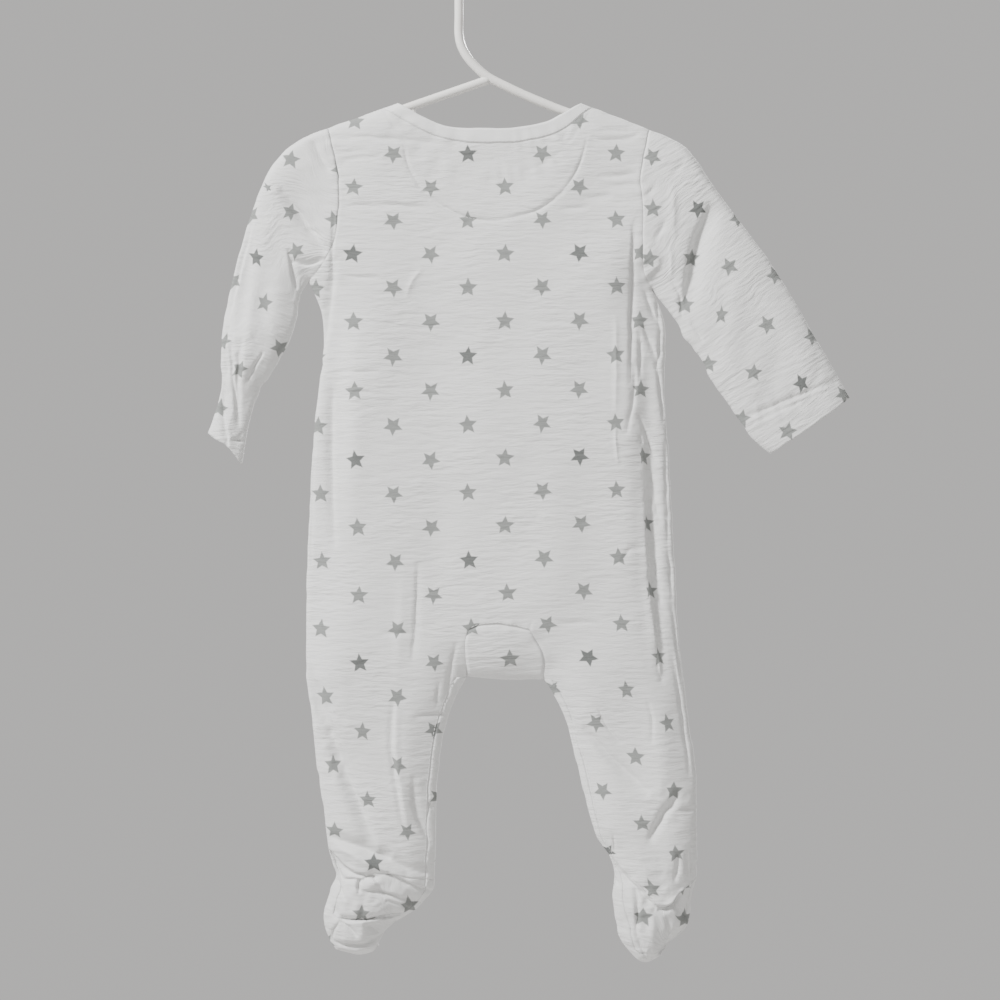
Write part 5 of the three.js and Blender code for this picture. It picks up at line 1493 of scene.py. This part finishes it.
def stitch_group(material):
    """Stitches along all of an object's edges, with the pitch, length and width as inputs."""
    group = bpy.data.node_groups.new("stitches", "GeometryNodeTree")
    group.interface.new_socket("Geometry", in_out="INPUT", socket_type="NodeSocketGeometry")
    keys = {}
    for name in ("Pitch", "Length", "Width"):
        socket = group.interface.new_socket(name, in_out="INPUT", socket_type="NodeSocketFloat")
        keys[name] = socket.identifier
    group.interface.new_socket("Geometry", in_out="OUTPUT", socket_type="NodeSocketGeometry")

    def add(kind, settings=None, **sockets):
        node = group.nodes.new(kind)
        for key, value in (settings or {}).items():
            setattr(node, key, value)
        for key, value in sockets.items():
            socket = node.inputs[key.replace("_", " ")]
            if isinstance(value, bpy.types.NodeSocket):
                group.links.new(value, socket)
            else:
                socket.default_value = value
        return node.outputs[0]

    given = group.nodes.new("NodeGroupInput").outputs
    line = add("GeometryNodeMeshToCurve", Mesh=given["Geometry"])
    spaced = add("GeometryNodeResampleCurve", {"mode": "LENGTH"}, Curve=line, Length=given["Pitch"])
    ball = add("GeometryNodeMeshUVSphere", Segments=8, Rings=6, Radius=0.5)
    size = add("ShaderNodeCombineXYZ", X=given["Width"], Y=given["Width"], Z=given["Length"])
    stitch = add("GeometryNodeTransform", Geometry=ball, Scale=size)
    tangent = add("GeometryNodeInputTangent")
    turn = add("FunctionNodeAlignRotationToVector", {"axis": "Z"}, Vector=tangent)
    placed = add("GeometryNodeInstanceOnPoints", Points=spaced, Instance=stitch, Rotation=turn)
    real = add("GeometryNodeRealizeInstances", Geometry=placed)
    shaded = add("GeometryNodeSetShadeSmooth", Geometry=real)
    done = add("GeometryNodeSetMaterial", Geometry=shaded, Material=material)
    group.links.new(done, group.nodes.new("NodeGroupOutput").inputs[0])
    return group, keys


def stitch(name, runs, group, keys):
    """One piece with all the stitches of some runs, each flat points on a side, and their lift."""
    points, edges = [], []
    for flat, side, lift in runs:
        places = on_cloth(flat, side, lift=lift)
        edges += [(len(points) + i, len(points) + i + 1) for i in range(len(places) - 1)]
        points += (places * MM).tolist()
    mesh = bpy.data.meshes.new(name)
    mesh.from_pydata(points, edges, [])
    piece = bpy.data.objects.new(name, mesh)
    bpy.context.scene.collection.objects.link(piece)
    modifier = piece.modifiers.new("stitches", "NODES")
    modifier.node_group = group
    for key, value in (("Pitch", STITCH_PITCH), ("Length", STITCH_LENGTH), ("Width", THREAD_WIDTH)):
        modifier[keys[key]] = value * MM
    ready = piece.evaluated_get(bpy.context.evaluated_depsgraph_get())
    done = bpy.data.meshes.new_from_object(ready)
    piece.modifiers.clear()
    piece.data = done
    return piece


def moved_over(line, distance):
    """A line moved to the left of its way, without its ends."""
    way = np.gradient(line, axis=0)
    way /= np.linalg.norm(way, axis=1)[:, None]
    moved = line + distance * np.column_stack([-way[:, 1], way[:, 0]])
    return moved[ENDS_LEFT_OUT:-ENDS_LEFT_OUT]


def along(rows, distance=0.0):
    """A line beside the smooth one through a table's points, in steps of a millimetre."""
    line = walk(line_of(rows, "x", "z"), lambda length: np.arange(0, length, 1.0))
    return moved_over(line, distance)


def hem_run(sections, cuff, reach):
    """A line across a sleeve at a distance from its cuff."""
    top = walk(line_of(sections, "top_x", "top_z"), evenly(HEM_ROW_CELLS))
    under = walk(line_of(sections, "under_x", "under_z"), evenly(HEM_ROW_CELLS))
    end = walk(line_of(cuff, "x", "z"), evenly(HEM_LINE_CELLS))
    row = -1 - round(HEM_ROW_CELLS * reach / run_of(top)[-1])
    share = np.linspace(0, 1, len(end))[:, None]
    line = end + (top[row] - top[-1]) * (1 - share) + (under[row] - under[-1]) * share
    return line[ENDS_LEFT_OUT:-ENDS_LEFT_OUT]


def strip_run(rows, distance):
    """A line along a leg strip's seam."""
    return moved_over(rows[LEG_TOP_ROWS:, -STRIP_CELLS - 1], distance)


def band_run(distance):
    """A line down the front band."""
    yoke, body = (rows[:, rows.shape[1] // 2] for rows in (front_layer["yoke"], front_layer["body"]))
    return moved_over(np.vstack([yoke, body[1:]]), distance)


stitches, stitch_keys = stitch_group(cotton_thread())
left_hem = hem_run(SLEEVE_LEFT, CUFF_LEFT, HEM_WIDTH_LEFT)
right_hem = hem_run(SLEEVE_RIGHT, CUFF_RIGHT, HEM_WIDTH_RIGHT)
on_band = BAND_HALF_WIDTH - FROM_BAND_EDGE
STITCHED = {
    "hem_stitches": [(hem, side, 0.0) for hem in (left_hem, right_hem) for side in (-1, 1)],
    "neck_stitches": [
        (along(BACK_NECK_SEAM, FROM_SEAM), -1, 0.0),
        (along(FRONT_NECK_SEAM, FROM_SEAM), 1, 0.0),
        (along(FACING_LINE), -1, 0.0),
    ],
    "band_stitches": [(band_run(distance), 1, BAND_LIFT) for distance in (-on_band, on_band)],
    "gusset_stitches": [(along(GUSSET_TOP, FROM_SEAM), -1, 0.0)],
    "leg_stitches": [
        (strip_run(rows[leg], way * FROM_SEAM), side, 0.0)
        for rows, side in ((back_layer, -1), (front_layer, 1))
        for leg, way in (("leg_left", -1), ("leg_right", 1))
    ],
}
for name, runs in STITCHED.items():
    row = stitch(name, runs, stitches, stitch_keys)
    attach(row, "root")

# Floor, lights and world: a plain pale floor below the hanging garment, and soft light from
# large panels on both of its sides.
FLOOR_Z = -1350.0
FLOOR_HALF_WIDTH = 1600.0
WORLD_GREY = 0.555
WORLD_TINT = (1.0, 0.985, 0.97)
LIGHTS = (
    ("key_light", (-1.8, -1.4, 1.5), 0.45, 205.0),
    ("fill_light", (0.9, -2.6, -0.2), 1.2, 14.0),
    ("front_light", (1.2, 1.9, 0.9), 0.8, 110.0),
)


def make_floor():
    finish = Finish("floor", 0.8)
    place = finish.add("TexCoord", output=3)
    cloudy = finish.mix(finish.noise(place, 3.0), (0.50, 0.49, 0.48), (0.53, 0.52, 0.51))
    finish.put(finish.shader, {"Base Color": cloudy})
    ways = ((-1, -1), (1, -1), (1, 1), (-1, 1))
    corners = [(FLOOR_HALF_WIDTH * x, FLOOR_HALF_WIDTH * y, FLOOR_Z) for x, y in ways]
    return new_piece("floor", corners, [[0, 1, 2, 3]], finish.material)


floor = make_floor()
floor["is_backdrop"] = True

world = bpy.data.worlds.new("studio")
world.use_nodes = True
background = world.node_tree.nodes["Background"].inputs
background["Color"].default_value = (*(WORLD_GREY * tint for tint in WORLD_TINT), 1)
background["Strength"].default_value = 1.0
bpy.context.scene.world = world

for name, place, size, power in LIGHTS:
    light = bpy.data.objects.new(name, bpy.data.lights.new(name, "AREA"))
    light.data.shape = "DISK"
    light.data.size = size
    light.data.energy = power
    light.location = place
    aim = Vector((VIEW_CENTRE_X, 0, VIEW_CENTRE_Z)) - light.location
    light.rotation_euler = aim.to_track_quat("-Z", "Y").to_euler()
    bpy.context.scene.collection.objects.link(light)

boxes = {"cad": cad_box, "visual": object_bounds()}
{name: [list(corner) for corner in box] for name, box in boxes.items()}
